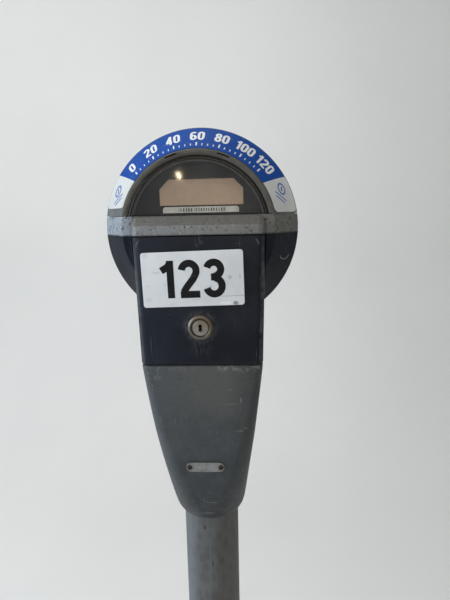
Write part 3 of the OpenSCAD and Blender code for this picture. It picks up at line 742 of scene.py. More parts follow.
def plate_material():
    mat = start("number_plate_white")
    cloud = mat.noise(scale=38, detail=5, rough=.62)
    color = mat.mix((.78, .79, .80), (.52, .53, .53), cloud.fade(.42, .75) * .30)
    smears = mat.noise(scale=120, detail=4, rough=.6, fade=(.58, .72),
                       at=mat.mapped(scale=(.35, 1, 2.4)))
    smears = smears * mat.noise(scale=45, detail=3, rough=.6, fade=(.48, .62))
    color = color.tint((.32, .33, .34), smears * .38)
    for x, z, radius, squeeze, amount, spot_color in PLATE_SPOTS:
        spot = mat.blob(x, z, radius, squeeze, ragged=.45, scale=260)
        color = color.tint(spot_color, spot * amount)
    # Long, slightly sloping score on the right
    score = abs(mat.z + (.0602 - mat.x * .04)).fade(.0008, .0002) * mat.x.fade(.017, .024)
    color = color.tint((.34, .36, .36), score * .5)
    # Painted highlight: lighter along the edges
    color = color.tint((.80, .81, .82), mat.edge(radius=.0006) * .35)
    return mat.surface(color=color, rough=.30 + cloud * .2, spec=.35,
                       bump=(mat.noise(scale=90, detail=3, rough=.5), .06, .0005))


def metal_material(name, base, rough, dark, metal=.9, brushed=None):
    """brushed stretches the fine grain along its smallest component."""
    mat = start(name)
    cloud = mat.noise(scale=60, detail=5, rough=.65)
    color = mat.mix(base, dark, cloud.fade(.45, .75) * .45)
    grain = mat.noise(scale=600, detail=3, rough=.7,
                      at=mat.mapped(scale=brushed) if brushed else None)
    color = color.tint(dark, grain.fade(.5, .7) * .25)
    # Painted highlight: lighter along every edge
    bright = tuple(min(1, part * 1.35) for part in base)
    color = color.tint(bright, mat.edge(radius=.0006) * .5)
    return mat.surface(color=color, rough=rough + cloud * .2, metal=metal,
                       bump=(grain, .16, .0003))


def plastic_material(name, base, rough=.45, grain=700, dust=.15):
    """grain is the scale of the surface texture, dust the amount of pale specks."""
    mat = start(name)
    cloud = mat.noise(scale=26, detail=4, rough=.6)
    color = mat.mix(base, tuple(part * 1.25 for part in base), cloud.fade(.3, .7))
    specks = mat.noise(scale=500, detail=3, rough=.65, fade=(.58, .72))
    color = color.tint((.25, .25, .25), specks * dust)
    # Painted highlight: lighter along every edge
    bright = tuple(min(1, part * 2.2 + .03) for part in base)
    color = color.tint(bright, mat.edge(radius=.0007) * .3)
    return mat.surface(color=color, rough=rough + cloud * .15,
                       bump=(mat.noise(scale=grain, detail=2, rough=.6), .12, .0003))


def board_material():
    mat = start("circuit_board_green")
    color = mat.mix((.012, .075, .035), (.02, .11, .05),
                    mat.noise(scale=80, detail=3, rough=.6, fade=(.35, .65)))
    tracks = mat.bricks(scale=140, mortar=.03)
    color = color.tint((.05, .25, .10), tracks * .5)
    pads = 1 - mat.cells(scale=420, randomness=.35).fade(.10, .14)
    color = color.tint((.45, .42, .30), pads)
    # Painted highlight: lighter along the edges
    color = color.tint((.2, .3, .2), mat.edge(radius=.0005, fade=(.05, .3)) * .3)
    return mat.surface(color=color, rough=.35, bump=(tracks, .15, .0002), coat=.3)


def lcd_material():
    mat = start("lcd_tan_glass")
    color = mat.mix((.82, .585, .41), (.72, .52, .385), mat.z.fade(.020, .047))
    # Painted shade: darker towards the right
    right = mat.x.fade(-.04, .04)
    color = color.tint((.76, .52, .36), right * .25)
    # Painted light: a lighter patch in the middle
    centre = abs(mat.x + .004).fade(.016, .0) * abs(mat.z - .034).fade(.015, .0)
    color = color.tint((.84, .64, .50), centre * .25)
    # Unlit segments, only just visible
    color = color.tint((.30, .24, .20), mat.bricks(scale=75, mortar=.06) * .03)
    specks = mat.noise(scale=300, detail=3, rough=.6)
    color = color.tint((.2, .15, .12), specks.fade(.6, .75) * .15)
    # The glow is painted light: the unlit panel made to shine
    return mat.surface(color=color, rough=.22 + mat.noise(scale=60, detail=3, rough=.5) * .1,
                       bump=(specks, .05, .0002), coat=.15, coat_rough=.08, glow=.125)


def label_material():
    mat = start("label_strip_silver")
    color = mat.mix((.80, .79, .74), (.60, .595, .55),
                    mat.noise(scale=60, detail=4, rough=.6, fade=(.35, .7)))
    # Printed ticks in the middle, some of them left out
    ticks = abs((mat.x * 420.0).fract() - .5).fade(.30, .22)
    middle = (abs(mat.x - .0015).fade(.0225, .0215)
              * abs(mat.z - .0180).fade(.0017, .0014))
    chosen = mat.noise(scale=900, detail=1, rough=.4, fade=(.40, .52),
                       at=mat.mapped(scale=(1, 0, 0)))
    color = color.tint((.03, .03, .03), ticks * middle * chosen)
    # The glow is painted light: the printed strip made to shine
    return mat.surface(color=color, rough=.4, metal=.1, glow=.24,
                       bump=(mat.noise(scale=500, detail=2, rough=.6), .1, .0002))


def window_material():
    """Clear pane with a cloudy moulded bead round it."""
    mat = start("window_clear_polycarbonate")
    fresnel = mat.add("Fresnel", {"IOR": 1.42})
    radius = mat.radius(0, 0)
    bead = radius.fade(.0600, .0620)
    pane = 1 - bead
    gloss_rough = .03 + mat.noise(scale=70, detail=4, rough=.6) * .04 + bead * .14
    gloss = mat.add("BsdfGlossy", {"Roughness": gloss_rough, "Color": (.95, .97, 1)})
    clear = mat.add("BsdfTransparent",
                    {"Color": mat.mix((.94, .935, .92), (.72, .68, .61), bead)})
    milky = mat.add("BsdfDiffuse",
                    {"Color": mat.mix((.32, .31, .29), (.125, .113, .098), bead)})
    haze = .012 + mat.noise(scale=22, detail=5, rough=.65, fade=(.45, .75)) * .05
    scratch = mat.scratches(scale=650, stretch=(.05, 1, 1), turn=.4, fade=(.65, .69), spread=28)
    haze = (haze + scratch * .12) * pane
    # Painted highlight: a paler line at the bead's inner edge, where the dome's edge catches the
    # light
    rim = abs(radius - .0600).fade(.0008, .0001) * .30
    haze = haze.max(rim * .55) + bead * .13
    body = mat.mix_shader(haze, clear, milky)
    return mat.finish(mat.mix_shader(fresnel * (.62 - bead * .30), body, gloss))


def lock_material(name, light, dark, warm_color, warmth):
    """Worn plating with turned rings round the vault lock's centre."""
    mat = start(name)
    lock_z, radius = mat.lock_radius()
    cloud = mat.noise(scale=240, detail=5, rough=.7)
    color = mat.mix(light, dark, cloud.fade(.35, .68))
    # Warmer and darker towards the upper right: partly brass tone, partly painted shade against a
    # lighter left
    color = color.tint(warm_color, (mat.x * .9 + lock_z).fade(-.008, .010) * warmth)
    # Painted shade: near black in the gap between the plug and the collar
    groove = abs(radius - .0080).fade(.0011, .0005)
    color = color.tint((.02, .017, .014), groove * .9)
    rings = abs((radius * 900.0).fract() - .5).fade(.12, .3)
    color = color.tint((.2, .18, .15), (1 - rings) * .12)
    fine = mat.noise(scale=1500, detail=2, rough=.6)
    color = color.tint((.12, .10, .08), fine.fade(.55, .7) * .3)
    # Painted highlight: lighter along the edges
    color = color.tint((.55, .52, .46), mat.edge(radius=.0006) * .35)
    return mat.surface(color=color, rough=.34 + cloud * .22, metal=.75, bump=(fine, .2, .0002))


def rust_material():
    mat = start("rivet_rusted")
    crust = mat.noise(scale=700, detail=5, rough=.7)
    color = mat.mix((.016, .009, .006), (.075, .036, .018), crust.fade(.38, .72))
    return mat.surface(color=color, rough=.8, metal=.1, bump=(crust, .6, .0004))


def alloy_material():
    mat = start("id_plate_alloy")
    color = mat.mix((.30, .30, .295), (.20, .195, .185),
                    mat.noise(scale=130, detail=5, rough=.65, fade=(.35, .7)))
    # Stains round the two rivets
    stain = (abs(abs(mat.x) - .0165).fade(.0050, .0015)
             * mat.noise(scale=420, detail=4, rough=.7, fade=(.38, .6)))
    color = color.tint((.11, .07, .04), stain * .55)
    # Painted highlight: lighter along the edges
    color = color.tint((.42, .41, .39), mat.edge(radius=.0007) * .5)
    color = color.tint((.05, .032, .018), mat.crevice(distance=.002, fade=(.3, .9)) * .8)
    return mat.surface(color=color, rough=.42, metal=.45,
                       bump=(mat.noise(scale=900, detail=3, rough=.6), .12, .0002))


def gloss_material(name, base, rough=.25):
    mat = start(name)
    cloud = mat.noise(scale=120, detail=4, rough=.6)
    color = mat.mix(base, tuple(part * .55 for part in base), cloud.fade(.45, .7) * .35)
    specks = mat.noise(scale=900, detail=3, rough=.6, fade=(.62, .72))
    color = color.tint((.5, .5, .5), specks * .2)
    return mat.surface(color=color, rough=rough + cloud * .15, bump=(cloud, .08, .0003), coat=.4)


def rubber_material():
    mat = start("seal_rubber")
    cloud = mat.noise(scale=200, detail=4, rough=.65)
    color = mat.mix((.012, .012, .0125), (.03, .03, .03), cloud.fade(.35, .7))
    return mat.surface(color=color, rough=.75, bump=(cloud, .3, .0003))


def mask_material():
    mat = start("display_mask_moulded")
    cloud = mat.noise(scale=15, detail=4, rough=.6)
    color = mat.mix((.034, .032, .029), (.046, .043, .039), cloud.fade(.3, .7))
    outer = mat.length(mat.x, mat.z).fade(.050, .066)
    color = color.tint((.075, .070, .062), outer * .4)
    specks = mat.noise(scale=800, detail=2, rough=.6, fade=(.62, .75))
    color = color.tint((.14, .135, .12), specks * .10)
    # Painted highlight: lighter along the edges
    color = color.tint((.16, .155, .145), mat.edge(radius=.0006, fade=(.03, .2)) * .6)
    return mat.surface(color=color, rough=.5 + cloud * .15,
                       bump=(mat.noise(scale=900, detail=2, rough=.6), .15, .0002))


MATERIALS = {
    "housing": housing_material(),
    "lid": lid_material(),
    "door": door_material(),
    "casting": casting_material(),
    "post": post_material(),
    "blue": print_material("dial_print_blue", (.003, .058, .30), smudge=(.010, .075, .28),
                           rough=.45, dirt=.35, spec=.10),
    "white": print_material("dial_print_white", (.60, .615, .60), smudge=(.44, .44, .42),
                            rough=.34, dirt=.35),
    "ink_white": print_material("dial_ink_white", (.74, .75, .74), smudge=(.6, .62, .66),
                                rough=.30, dirt=.3),
    "ink_blue": print_material("dial_ink_blue", (.035, .12, .40), smudge=(.2, .28, .45),
                               rough=.30, dirt=.3),
    "ink_black": print_material("plate_ink_black", (.006, .006, .0065),
                                smudge=(.016, .016, .017), rough=.42, dirt=.5, lines=.05),
    "plate": plate_material(),
    "lock": lock_material("lock_worn_plating", light=(.40, .375, .34), dark=(.27, .235, .19),
                          warm_color=(.25, .165, .085), warmth=.55),
    "lock_ring": lock_material("lock_ring_worn", light=(.20, .18, .155), dark=(.12, .10, .08),
                               warm_color=(.165, .12, .075), warmth=.8),
    "zinc": metal_material("zinc_plated_steel", (.50, .51, .53), rough=.34,
                           dark=(.20, .19, .17)),
    "steel": metal_material("box_sheet_steel", (.40, .41, .42), rough=.36,
                            dark=(.16, .155, .15), brushed=(1, 1, .06)),
    "dark_steel": metal_material("blackened_steel", (.10, .10, .105), rough=.42,
                                 dark=(.035, .03, .028)),
    "frame": metal_material("chassis_sheet_alloy", (.46, .47, .48), rough=.38,
                            dark=(.20, .20, .20), brushed=(.06, 1, 1)),
    "dark_plastic": plastic_material("dark_moulded_plastic", (.022, .023, .025)),
    "faceplate": plastic_material("faceplate_textured_plastic", (.030, .032, .035), rough=.5,
                                  grain=900, dust=.25),
    "board": board_material(),
    "lcd": lcd_material(),
    "label": label_material(),
    "window": window_material(),
    "rust": rust_material(),
    "alloy": alloy_material(),
    "rubber": rubber_material(),
    "mask": mask_material(),
    "red": gloss_material("button_red_plastic", (.42, .035, .022)),
    "lens": gloss_material("lens_red_plastic", (.50, .06, .03), rough=.12),
    "cell": gloss_material("cell_wrap_blue", (.03, .13, .30), rough=.3),
    "weld": metal_material("weld_bead_dull", (.16, .155, .15), rough=.55,
                           dark=(.07, .045, .03), metal=.6),
    "keyway": plastic_material("keyway_black", (.004, .004, .004), rough=.7, dust=.02),
}


# ------------------------------------------------------------------ lid and housing
# Section of the lid shell: radius, y, corner radius
LID_SECTION = [
    (66, -56, .5), (FACE_RADIUS, -FACE_Y, .9), (DISC_RADIUS, -DISC_HALF_RIM, 1.2),
    (DISC_RADIUS, DISC_HALF_RIM, 2.2), (FACE_RADIUS, FACE_Y, 2.5), (0, 56, 0),
    (0, 52, 0), (67.3, 52, 2), (88.8, 22, 3), (88.8, -22, 3), (68.6, -50.19, 0),
    (68.6, -53, .3), (66, -53, .3)]
# Section of the solid disc below the seam, and of the hollow inside it: same columns
DISC_SECTION = [
    (0, -FACE_Y, 0), (FACE_RADIUS, -FACE_Y, 2), (DISC_RADIUS, -DISC_HALF_RIM, 1.4),
    (DISC_RADIUS, DISC_HALF_RIM, 1.4), (FACE_RADIUS, FACE_Y, 2), (0, FACE_Y, 0)]
HOLLOW_SECTION = [(0, -52, 0), (67.3, -52, 2), (88.8, -22, 2), (88.8, 22, 2), (67.3, 52, 2),
                  (0, 52, 0)]
# Section of the shoulder bar: y, z, corner radius
SHOULDER_SECTION = [
    (-63.5, VAULT_TOP, .8), (-63.5, 4.0, 3.2), (-57.4, BODY_SEAM, 3.4),
    (57.4, BODY_SEAM, 3.4), (63.5, 4.0, 3.2), (63.5, VAULT_TOP, .8)]


def knuckle(bore, x, low, high):
    """Hinge tube on the lid's hinge axis, from x + low to x + high."""
    section = [(bore, low, .3), (5.5, low, .8), (5.5, high, .8), (bore, high, .3)]
    return spin(round_corners(section, segments=3), point(x, *HINGE), (1, 0, 0), 48)


def make_lid():
    lid = overlap(revolve(round_corners(LID_SECTION, segments=6), 200, -6, 186),
                  box(x=(-120, 120), y=(-90, 90), z=(LID_SEAM, 120)))
    rear_opening = [(-46, 19.4, 3), (46, 19.4, 3), (46, 60, 9), (-46, 60, 9)]
    lid = cut(lid, prism(round_corners(rear_opening, segments=6), "y", 50, 60))
    # Hinge tube on a web at the back
    web = prism([(54, 14.5), (62, 10), (62, 18.9), (54, 18.9)], "x", -23.5, 23.5, bevel=.5)
    web = cut(web, rod("x", HINGE_PIN, -30, 30, HINGE, 48))
    lid = join(lid, web, knuckle(2.6, 0, -23.5, 23.5))
    # Block inside the right rim with two holes
    inside = revolve([(0, 0), (90.0, 0), (90.0, 22.3), (68.5, 51.5), (0, 51.5)], 120)
    pad = overlap(box(x=(70, 92), y=(20, 31), z=(13.4, 24)), inside)
    pad = cut(pad, *(rod("x", 1.55, 60, 80, (y, 19), 24) for y in (22.5, 28.5)))
    lid = join(lid, pad)
    # Two shallow slots in the face above the window
    for first, last in ((64.6, 74.4), (104.4, 114.0)):
        section = [(67.35, -58), (68.75, -58), (68.75, -54.0), (67.35, -54.0)]
        lid = cut(lid, revolve(section, 12, first, last))
    add_object("lid_shell", lid, "lid", "lid", 28, "lid", weighted=True)


def vault_half_width(z):
    return (VAULT_HALF_BOTTOM + (VAULT_HALF_TOP - VAULT_HALF_BOTTOM) * (z - VAULT_BOTTOM)
            / (VAULT_TOP - VAULT_BOTTOM))


def tapered_box(z0, z1, y0, y1, roll, roll_steps, corner_steps):
    """Box as wide as the vault, with round upright corners and rolled top and bottom edges."""
    curve = [(roll * (1 - math.cos(math.pi / 2 * k / roll_steps)),
              roll * (1 - math.sin(math.pi / 2 * k / roll_steps))) for k in range(roll_steps + 1)]
    low = [(z0 + rise, inset) for rise, inset in curve]
    high = [(z1 - drop, inset) for drop, inset in reversed(curve)]
    middle = [(low[-1][0] + (high[0][0] - low[-1][0]) * k / 6, 0.0) for k in range(1, 6)]
    return loft([rectangle_ring(vault_half_width(z) - inset, y0 + inset, y1 - inset,
                                VAULT_CORNER - inset, VAULT_CORNER - inset, z, corner_steps)
                 for z, inset in low + middle + high])


def vault_slab(z0, z1, y0, y1, grow=0):
    """Trapezoid following the vault's taper, wider by grow on each side."""
    low, high = vault_half_width(z0) + grow, vault_half_width(z1) + grow
    return prism([(-low, z0), (low, z0), (high, z1), (-high, z1)], "y", y0, y1)


def make_shoulder():
    """Long bar with a sloped ledge front and back and rounded ends."""
    def rounded(limit, radius, from_end):
        if from_end > radius:
            return limit
        return limit - radius * (1 - math.sqrt(1 - ((radius - from_end) / radius) ** 2))

    section = round_corners(SHOULDER_SECTION, segments=6)
    steps = 40
    rings = []
    for k in range(steps + 1):
        x = VAULT_HALF_TOP * math.sin((-1 + 2 * k / steps) * math.pi / 2)
        from_end = VAULT_HALF_TOP - abs(x)
        top = rounded(BODY_SEAM, 10, from_end)
        depth = rounded(63.5, 6.5, from_end)
        rings.append([point(x, max(-depth, min(depth, y)), min(z, top)) for y, z in section])
    return loft(rings, 1e-6)


def make_housing():
    """Lower disc, vault box and shoulder as one casting."""
    disc = overlap(revolve(round_corners(DISC_SECTION), 200),
                   box(x=(-120, 120), y=(-90, 90), z=(-120, BODY_SEAM)))
    vault = overlap(tapered_box(VAULT_BOTTOM, 2, VAULT_FRONT, 63, .8, 4, 12),
                    box(x=(-120, 120), y=(VAULT_FRONT, 90), z=(-130, 20)))
    body = join(disc, vault, make_shoulder())

    hollow = overlap(revolve(round_corners(HOLLOW_SECTION, segments=3), 160),
                     box(x=(-120, 120), y=(-90, 90), z=(-120, 30)))
    # Metal left solid: everything within the vault's width below -18, and a boss on the right
    hollow = cut(hollow, vault_slab(-130, -18, -60, 60), rod("x", 12.5, 78, 93, (0, -2)))
    door_recess = vault_slab(-130, VAULT_TOP, -70, VAULT_FRONT, grow=.7)
    chamber = prism([(-50.5, -118), (50.5, -118), (52.5, -22), (-52.5, -22)], "y", -41, 57)
    opening = prism(round_corners([(-44, -116), (44, -116), (46, -27), (-46, -27)], 4),
                    "y", -48, -39)
    passage = box(x=(-19.5, 19.5), y=(9, 25), z=(-23, -17))
    body = cut(body, hollow, door_recess, chamber, opening, passage)

    # Hinge ears at the back, either side of the lid's tube
    ear_section = round_corners([(56.5, 6, .5), (63.5, 4, 1), (67.5, 14, 0), (56.5, 14, 0)],
                                segments=3)
    for left in (-42, 24):
        ear = cut(prism(ear_section, "x", left, left + 18),
                  rod("x", HINGE_PIN, -50, 50, HINGE, 48))
        body = join(body, ear, knuckle(2.55, left, 0, 18))
    # Room for the lid's tube, and a hole through the right side
    body = cut(body, rod("x", 6.1, -23.9, 23.9, HINGE, 48), rod("x", 9.55, 70, 100, (0, -2)))
    add_object("housing_casting", body, "housing", "stand", 30, "main_housing",
               weighted=True)


def make_vault_door():
    """Thick moulded panel with rolled edges, hollow behind and ribbed."""
    door = tapered_box(-124.3, -5.1, DOOR_FRONT, -47, 1.6, 5, 14)
    pocket = prism(round_corners([(-38, -115), (38, -115), (40, -15), (-40, -15)], 5),
                   "y", -58, -40)
    ribs = [box(x=(x - 1.5, x + 1.5), y=(-80, -50), z=(-117, -13)) for x in (-24, 24)]
    pocket = cut(pocket, rod("y", 15, -80, -30, (0, LOCK_Z)), *ribs)
    door = cut(door, pocket, rod("y", 9.6, -80, -30, (0, LOCK_Z)))
    # Upright holes at the left edge, top and bottom
    for z in (VAULT_TOP, VAULT_BOTTOM):
        x = -(vault_half_width(z) - 8)
        door = cut(door, rod("z", 2.6, z - 12, z + 12, (x, -55), 24))
    add_object("vault_door_panel", door, "door", "vault_door", 32, "vault_door",
               weighted=True)


make_lid()
make_housing()
make_vault_door()

# ------------------------------------------------------------------ lower casting and post
CASTING_TOP, CASTING_HEIGHT = -125.65, 181.35
# Share of the height from the top, half width or half depth
CASTING_HALF_WIDTHS = [(0, 57.6), (.12, 55.2), (.26, 52.4), (.4, 49.7), (.54, 46.6), (.7, 43.1),
                       (.84, 40.3), (.93, 38.2), (.97, 36.6), (1, 33.8)]
CASTING_HALF_DEPTHS = [(0, 62.6), (.3, 60.6), (.6, 56.4), (.75, 52), (.87, 45.5), (.95, 39.2),
                       (1, 33.8)]
POST_RADIUS = 30.2                 # at the foot of the weld


def curve_through(table, x):
    """Smooth curve through (x, value) rows that never overshoots them."""
    xs, values = zip(*table)
    steps = [b - a for a, b in zip(xs, xs[1:])]
    rises = [(b - a) / step for a, b, step in zip(values, values[1:], steps)]
    slopes = [rises[0]]
    slopes += [0 if a * b <= 0 else 2 / (1 / a + 1 / b) for a, b in zip(rises, rises[1:])]
    slopes.append(rises[-1])
    i = sum(1 for limit in xs[1:-1] if x >= limit)
    t = (x - xs[i]) / steps[i]
    return ((2 * t ** 3 - 3 * t ** 2 + 1) * values[i]
            + (t ** 3 - 2 * t ** 2 + t) * steps[i] * slopes[i]
            + (-2 * t ** 3 + 3 * t ** 2) * values[i + 1]
            + (t ** 3 - t ** 2) * steps[i] * slopes[i + 1])


def casting_ring(share, inset=0.0):
    """Outline going from a rounded rectangle at the top to a circle at the bottom."""
    width = curve_through(CASTING_HALF_WIDTHS, share) - inset
    depth = curve_through(CASTING_HALF_DEPTHS, share) - inset
    roundness = share ** 2.0
    return rectangle_ring(width, -depth, depth,
                          VAULT_CORNER + (width - VAULT_CORNER) * roundness,
                          VAULT_CORNER + (depth - VAULT_CORNER) * roundness,
                          CASTING_TOP - CASTING_HEIGHT * share, 22)


def make_casting():
    top_roll, bottom_roll = 1.4, 2.4
    side_start, side_end = .010, .985
    quarter = [math.pi / 2 * k / 5 for k in range(6)]
    rings = [casting_ring(.0001 + (top_roll * (1 - math.cos(a))) / CASTING_HEIGHT,
                          top_roll * (1 - math.sin(a))) for a in quarter]
    rings += [casting_ring(side_start + (side_end - side_start) * k / 70) for k in range(71)]
    rings += [casting_ring(side_end + .0149 * math.sin(a), bottom_roll * (1 - math.cos(a)))
              for a in quarter]
    casting = cut(loft(rings[::-1]), rod("z", 30.25, -310, -250, (0, 0), 128))
    # Two holes at the back, pointing at the post's axis
    for degrees in (62, 118):
        a = math.radians(degrees)
        hole = spin([(0, 0), (5.1, 0), (5.1, 45), (0, 45)],
                    point(26 * math.cos(a), 26 * math.sin(a), -284),
                    (math.cos(a), math.sin(a), 0), 32)
        casting = cut(casting, hole)
    add_object("pedestal_shell", casting, "casting", "stand", 40,
               "pedestal_casting", weighted=True)


def make_post():
    low, high = (corner.z * 1000 - HEAD_Z * 1000 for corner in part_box("post"))
    section = [(26.55, low, .3), (30.15, low, .5), (30.15, high, .5), (26.55, high, .3)]
    post = spin(round_corners(section, segments=3), point(0, 0, 0), (0, 0, 1), 128)
    add_object("post_tube", post, "post", "stand", 40, "post")


def make_weld():
    """Rippled bead round the foot of the post."""
    bm = bmesh.new()
    around, steps = 180, 14
    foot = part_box("post_weld")[0].z
    rings = []
    for k in range(around):
        a = 2 * math.pi * k / around
        bulge = .35 * abs(math.sin(a * 45)) + .125 * math.sin(a * 7 + 1.1)
        section = []
        for i in range(steps + 1):
            q = math.pi / 2 * i / steps
            radius = POST_RADIUS
            if i < steps:
                radius += (6.6 + .3 * bulge) * math.cos(q) ** .8
            section.append((radius, (6.4 + .5 * bulge) * math.sin(q) ** .8))
        section.append((POST_RADIUS, 0))
        rings.append([bm.verts.new((r * MM * math.cos(a), r * MM * math.sin(a), foot + z * MM))
                      for r, z in section])
    for near, far in zip(rings, rings[1:] + rings[:1]):
        for i in range(len(near)):
            j = (i + 1) % len(near)
            bm.faces.new((near[i], far[i], far[j], near[j]))
    add_object("weld_bead", to_mesh(bm), "weld", "stand", 50, "post_weld")


def make_id_plate():
    """Stadium-shaped plate with two rivets, leaning with the casting's front."""
    half_length, half_height = 19, 5.25
    front = curve_through(CASTING_HALF_DEPTHS, .5882)
    tilt = (Matrix.Translation(point(0, -front - .15, -232.3))
            @ Matrix.Rotation(math.radians(6.0), 4, "X"))
    outline = [(-half_length, -half_height), (half_length, -half_height),
               (half_length, half_height), (-half_length, half_height)]
    plate = thin_plate(round_corners(outline, 5.24, 14), tilt, .3, both_rims=True)
    add_object("id_plate_stadium", plate, "alloy", "stand", 35, "id_plate")
    # Rivet section: radius, height above the plate
    rivet = [(0, -4), (1.6, -4), (1.6, 0), (2.5, 0), (2.55, .25), (2.3, .7), (1.7, 1.05),
             (.9, 1.2), (.5, 1.0), (0, .95)]
    outward = tilt.to_3x3() @ Vector((0, -1, 0))
    bm = bmesh.new()
    for side in (-1, 1):
        bm.from_mesh(spin(rivet, tilt @ Vector((side * .0155, -.001, 0)), outward, 32))
    rivets = bpy.data.meshes.new("part")
    bm.to_mesh(rivets)
    bm.free()
    add_object("id_plate_rivet_heads", rivets, "rust", "stand", 50,
               "id_plate_rivets")


make_casting()
make_post()
make_weld()
make_id_plate()

# ------------------------------------------------------------------ printed dial on the cone
CONE_OUT = Vector((.8111, .5850))              # outward normal in (radius, -y)
CONE_RUN = DISC_RADIUS - FACE_RADIUS           # growth in radius from inner to outer edge
CONE_DROP = FACE_Y - DISC_HALF_RIM             # depth over the same way
CONE_SLANT = math.hypot(CONE_RUN, CONE_DROP)
BAND_INNER, BAND_OUTER = .050, .955            # shares of the slant
BAND_UNDER, BAND_TOP = .16, .44                # heights off the metal
INK_TOP = .52


def cone_point(degrees, share, lift):
    """Point on the lid's front cone; share runs from 0 at the inner edge to 1 at the outer."""
    radius = FACE_RADIUS + CONE_RUN * share + CONE_OUT.x * lift
    y = -(FACE_Y - CONE_DROP * share + CONE_OUT.y * lift)
    a = math.radians(degrees)
    return point(radius * math.cos(a), y, radius * math.sin(a))


def add_band(name, start_angle, end_angle, material, segments, corners=(0, 0), replaces=None):
    """Strip on the cone. Each end's angle is a function of share; corners rounds each end."""
    across = 6
    bm = bmesh.new()
    top, under = [], []
    length = abs(end_angle(.5) - start_angle(.5)) * math.pi / 180 * 81
    for k in range(segments + 1):
        along = k / segments
        inner, outer = BAND_INNER, BAND_OUTER
        for radius, distance in zip(corners, (length * along, length * (1 - along))):
            if radius and distance < radius:
                drop = math.sqrt(max(0, radius * radius - (radius - distance) ** 2))
                inset = (radius - drop) / CONE_SLANT
                inner = max(inner, BAND_INNER + inset)
                outer = min(outer, BAND_OUTER - inset)
        top.append([])
        under.append([])
        for i in range(across + 1):
            share = inner + (outer - inner) * (i / across)
            a = start_angle(share) + (end_angle(share) - start_angle(share)) * along
            top[-1].append(bm.verts.new(cone_point(a, share, BAND_TOP)))
            under[-1].append(bm.verts.new(cone_point(a, share, BAND_UNDER)))
    for t0, t1, u0, u1 in zip(top, top[1:], under, under[1:]):
        for i in range(across):
            bm.faces.new((t0[i], t1[i], t1[i + 1], t0[i + 1]))
            bm.faces.new((u0[i], u0[i + 1], u1[i + 1], u1[i]))
        bm.faces.new((t0[0], u0[0], u1[0], t1[0]))
        bm.faces.new((t0[across], t1[across], u1[across], u0[across]))
    for i in range(across):
        bm.faces.new((top[0][i], top[0][i + 1], under[0][i + 1], under[0][i]))
        bm.faces.new((top[-1][i], under[-1][i], under[-1][i + 1], top[-1][i + 1]))
    add_object(name, to_mesh(bm, 1e-7), material, "lid", 40, replaces)


def angle_at_height(z, share):
    """Angle on the right half where the cone stands at height z."""
    return math.degrees(math.asin(z / (FACE_RADIUS + CONE_RUN * share)))


def right_cut(share):
    return 34.2 + (30.2 - 34.2) * share


def left_cut(share):
    inner, outer = 180 - 38.3, 180 - 33.8
    return inner + (outer - inner) * share


def make_bands():
    """Blue arc with a white strip at each end."""
    add_band("dial_band_arc", right_cut, left_cut, "blue", 150, replaces="dial_band")
    add_band("dial_band_end_right", lambda share: angle_at_height(14.2, share),
             lambda share: right_cut(share) - .05, "white", 48, (4.6, 0))
    add_band("dial_band_end_left", lambda share: left_cut(share) + .05,
             lambda share: 180 - angle_at_height(20.4, share), "white", 40, (0, 3.0))


def arc(x, y, radius_x, radius_y, first, last, steps=14):
    angles = [math.radians(first + (last - first) * k / steps) for k in range(steps + 1)]
    return [(x + radius_x * math.cos(a), y + radius_y * math.sin(a)) for a in angles]


# Numerals 1 high: width, then strokes of (centre line, closed)
DIGITS = {
    "0": (.56, [(arc(.28, .70, .195, .215, 0, 180) + arc(.28, .30, .195, .215, 180, 360), True)]),
    "1": (.42, [([(.30, 0), (.30, 1.0)], False), ([(.30, .93), (.235, .835), (.06, .735)], False)]),
    "2": (.57, [(arc(.275, .715, .195, .200, 172, -28, 16)
                 + [(.38, .50), (.20, .28), (.115, .15)], False),
                ([(.03, .085), (.55, .085)], False)]),
    "3": (.56, [(arc(.265, .735, .185, .185, 165, -88, 18), False),
                (arc(.265, .290, .205, .215, 88, -165, 20), False),
                ([(.185, .532), (.30, .532)], False)]),
    "4": (.58, [([(.40, 0), (.40, 1.0)], False), ([(.40, .93), (.065, .32)], False),
                ([(.02, .27), (.56, .27)], False)]),
    "6": (.57, [(arc(.285, .31, .20, .225, 0, 360, 24)[:-1], True),
                ([(.085, .31)] + arc(.295, .66, .21, .255, 175, 40, 14), False)]),
    "8": (.56, [(arc(.28, .735, .170, .175, 0, 360, 24)[:-1], True),
                (arc(.28, .295, .20, .215, 0, 360, 24)[:-1], True)]),
}


def strokes_of(text, gap):
    """Yields (left edge, stroke index, path, closed) for each stroke of a centred number."""
    left = -(sum(DIGITS[digit][0] for digit in text) + gap * (len(text) - 1)) / 2
    for digit in text:
        width, strokes = DIGITS[digit]
        for index, (path, closed) in enumerate(strokes):
            yield left, index, path, closed
        left += width + gap


def stroke_sides(path, closed, width):
    """Left and right outlines of a stroke, mitred at its bends."""
    left, right = [], []
    count = len(path)
    for i, here in enumerate(path):
        into = out = None
        if i > 0 or closed:
            into = (Vector(here) - Vector(path[i - 1])).normalized()
        if i < count - 1 or closed:
            out = (Vector(path[(i + 1) % count]) - Vector(here)).normalized()
        into = into or out
        out = out or into
        side = Vector((-into.y, into.x))
        mitre = (side + Vector((-out.y, out.x))).normalized()
        reach = width / 2 / max(.6, mitre.dot(side))
        left.append((here[0] + mitre.x * reach, here[1] + mitre.y * reach))
        right.append((here[0] - mitre.x * reach, here[1] - mitre.y * reach))
    return left, right


def draw(bm, path, width, place, low, high, closed=False):
    """Solid stroke; place(u, v, lift) gives the point in the frame."""
    rings = [[bm.verts.new(place(*side, lift))
              for side, lift in ((left, low), (left, high), (right, high), (right, low))]
             for left, right in zip(*stroke_sides(path, closed, width))]
    skin(bm, rings, closed)
    if not closed:
        bm.faces.new(rings[0])
        bm.faces.new(rings[-1][::-1])


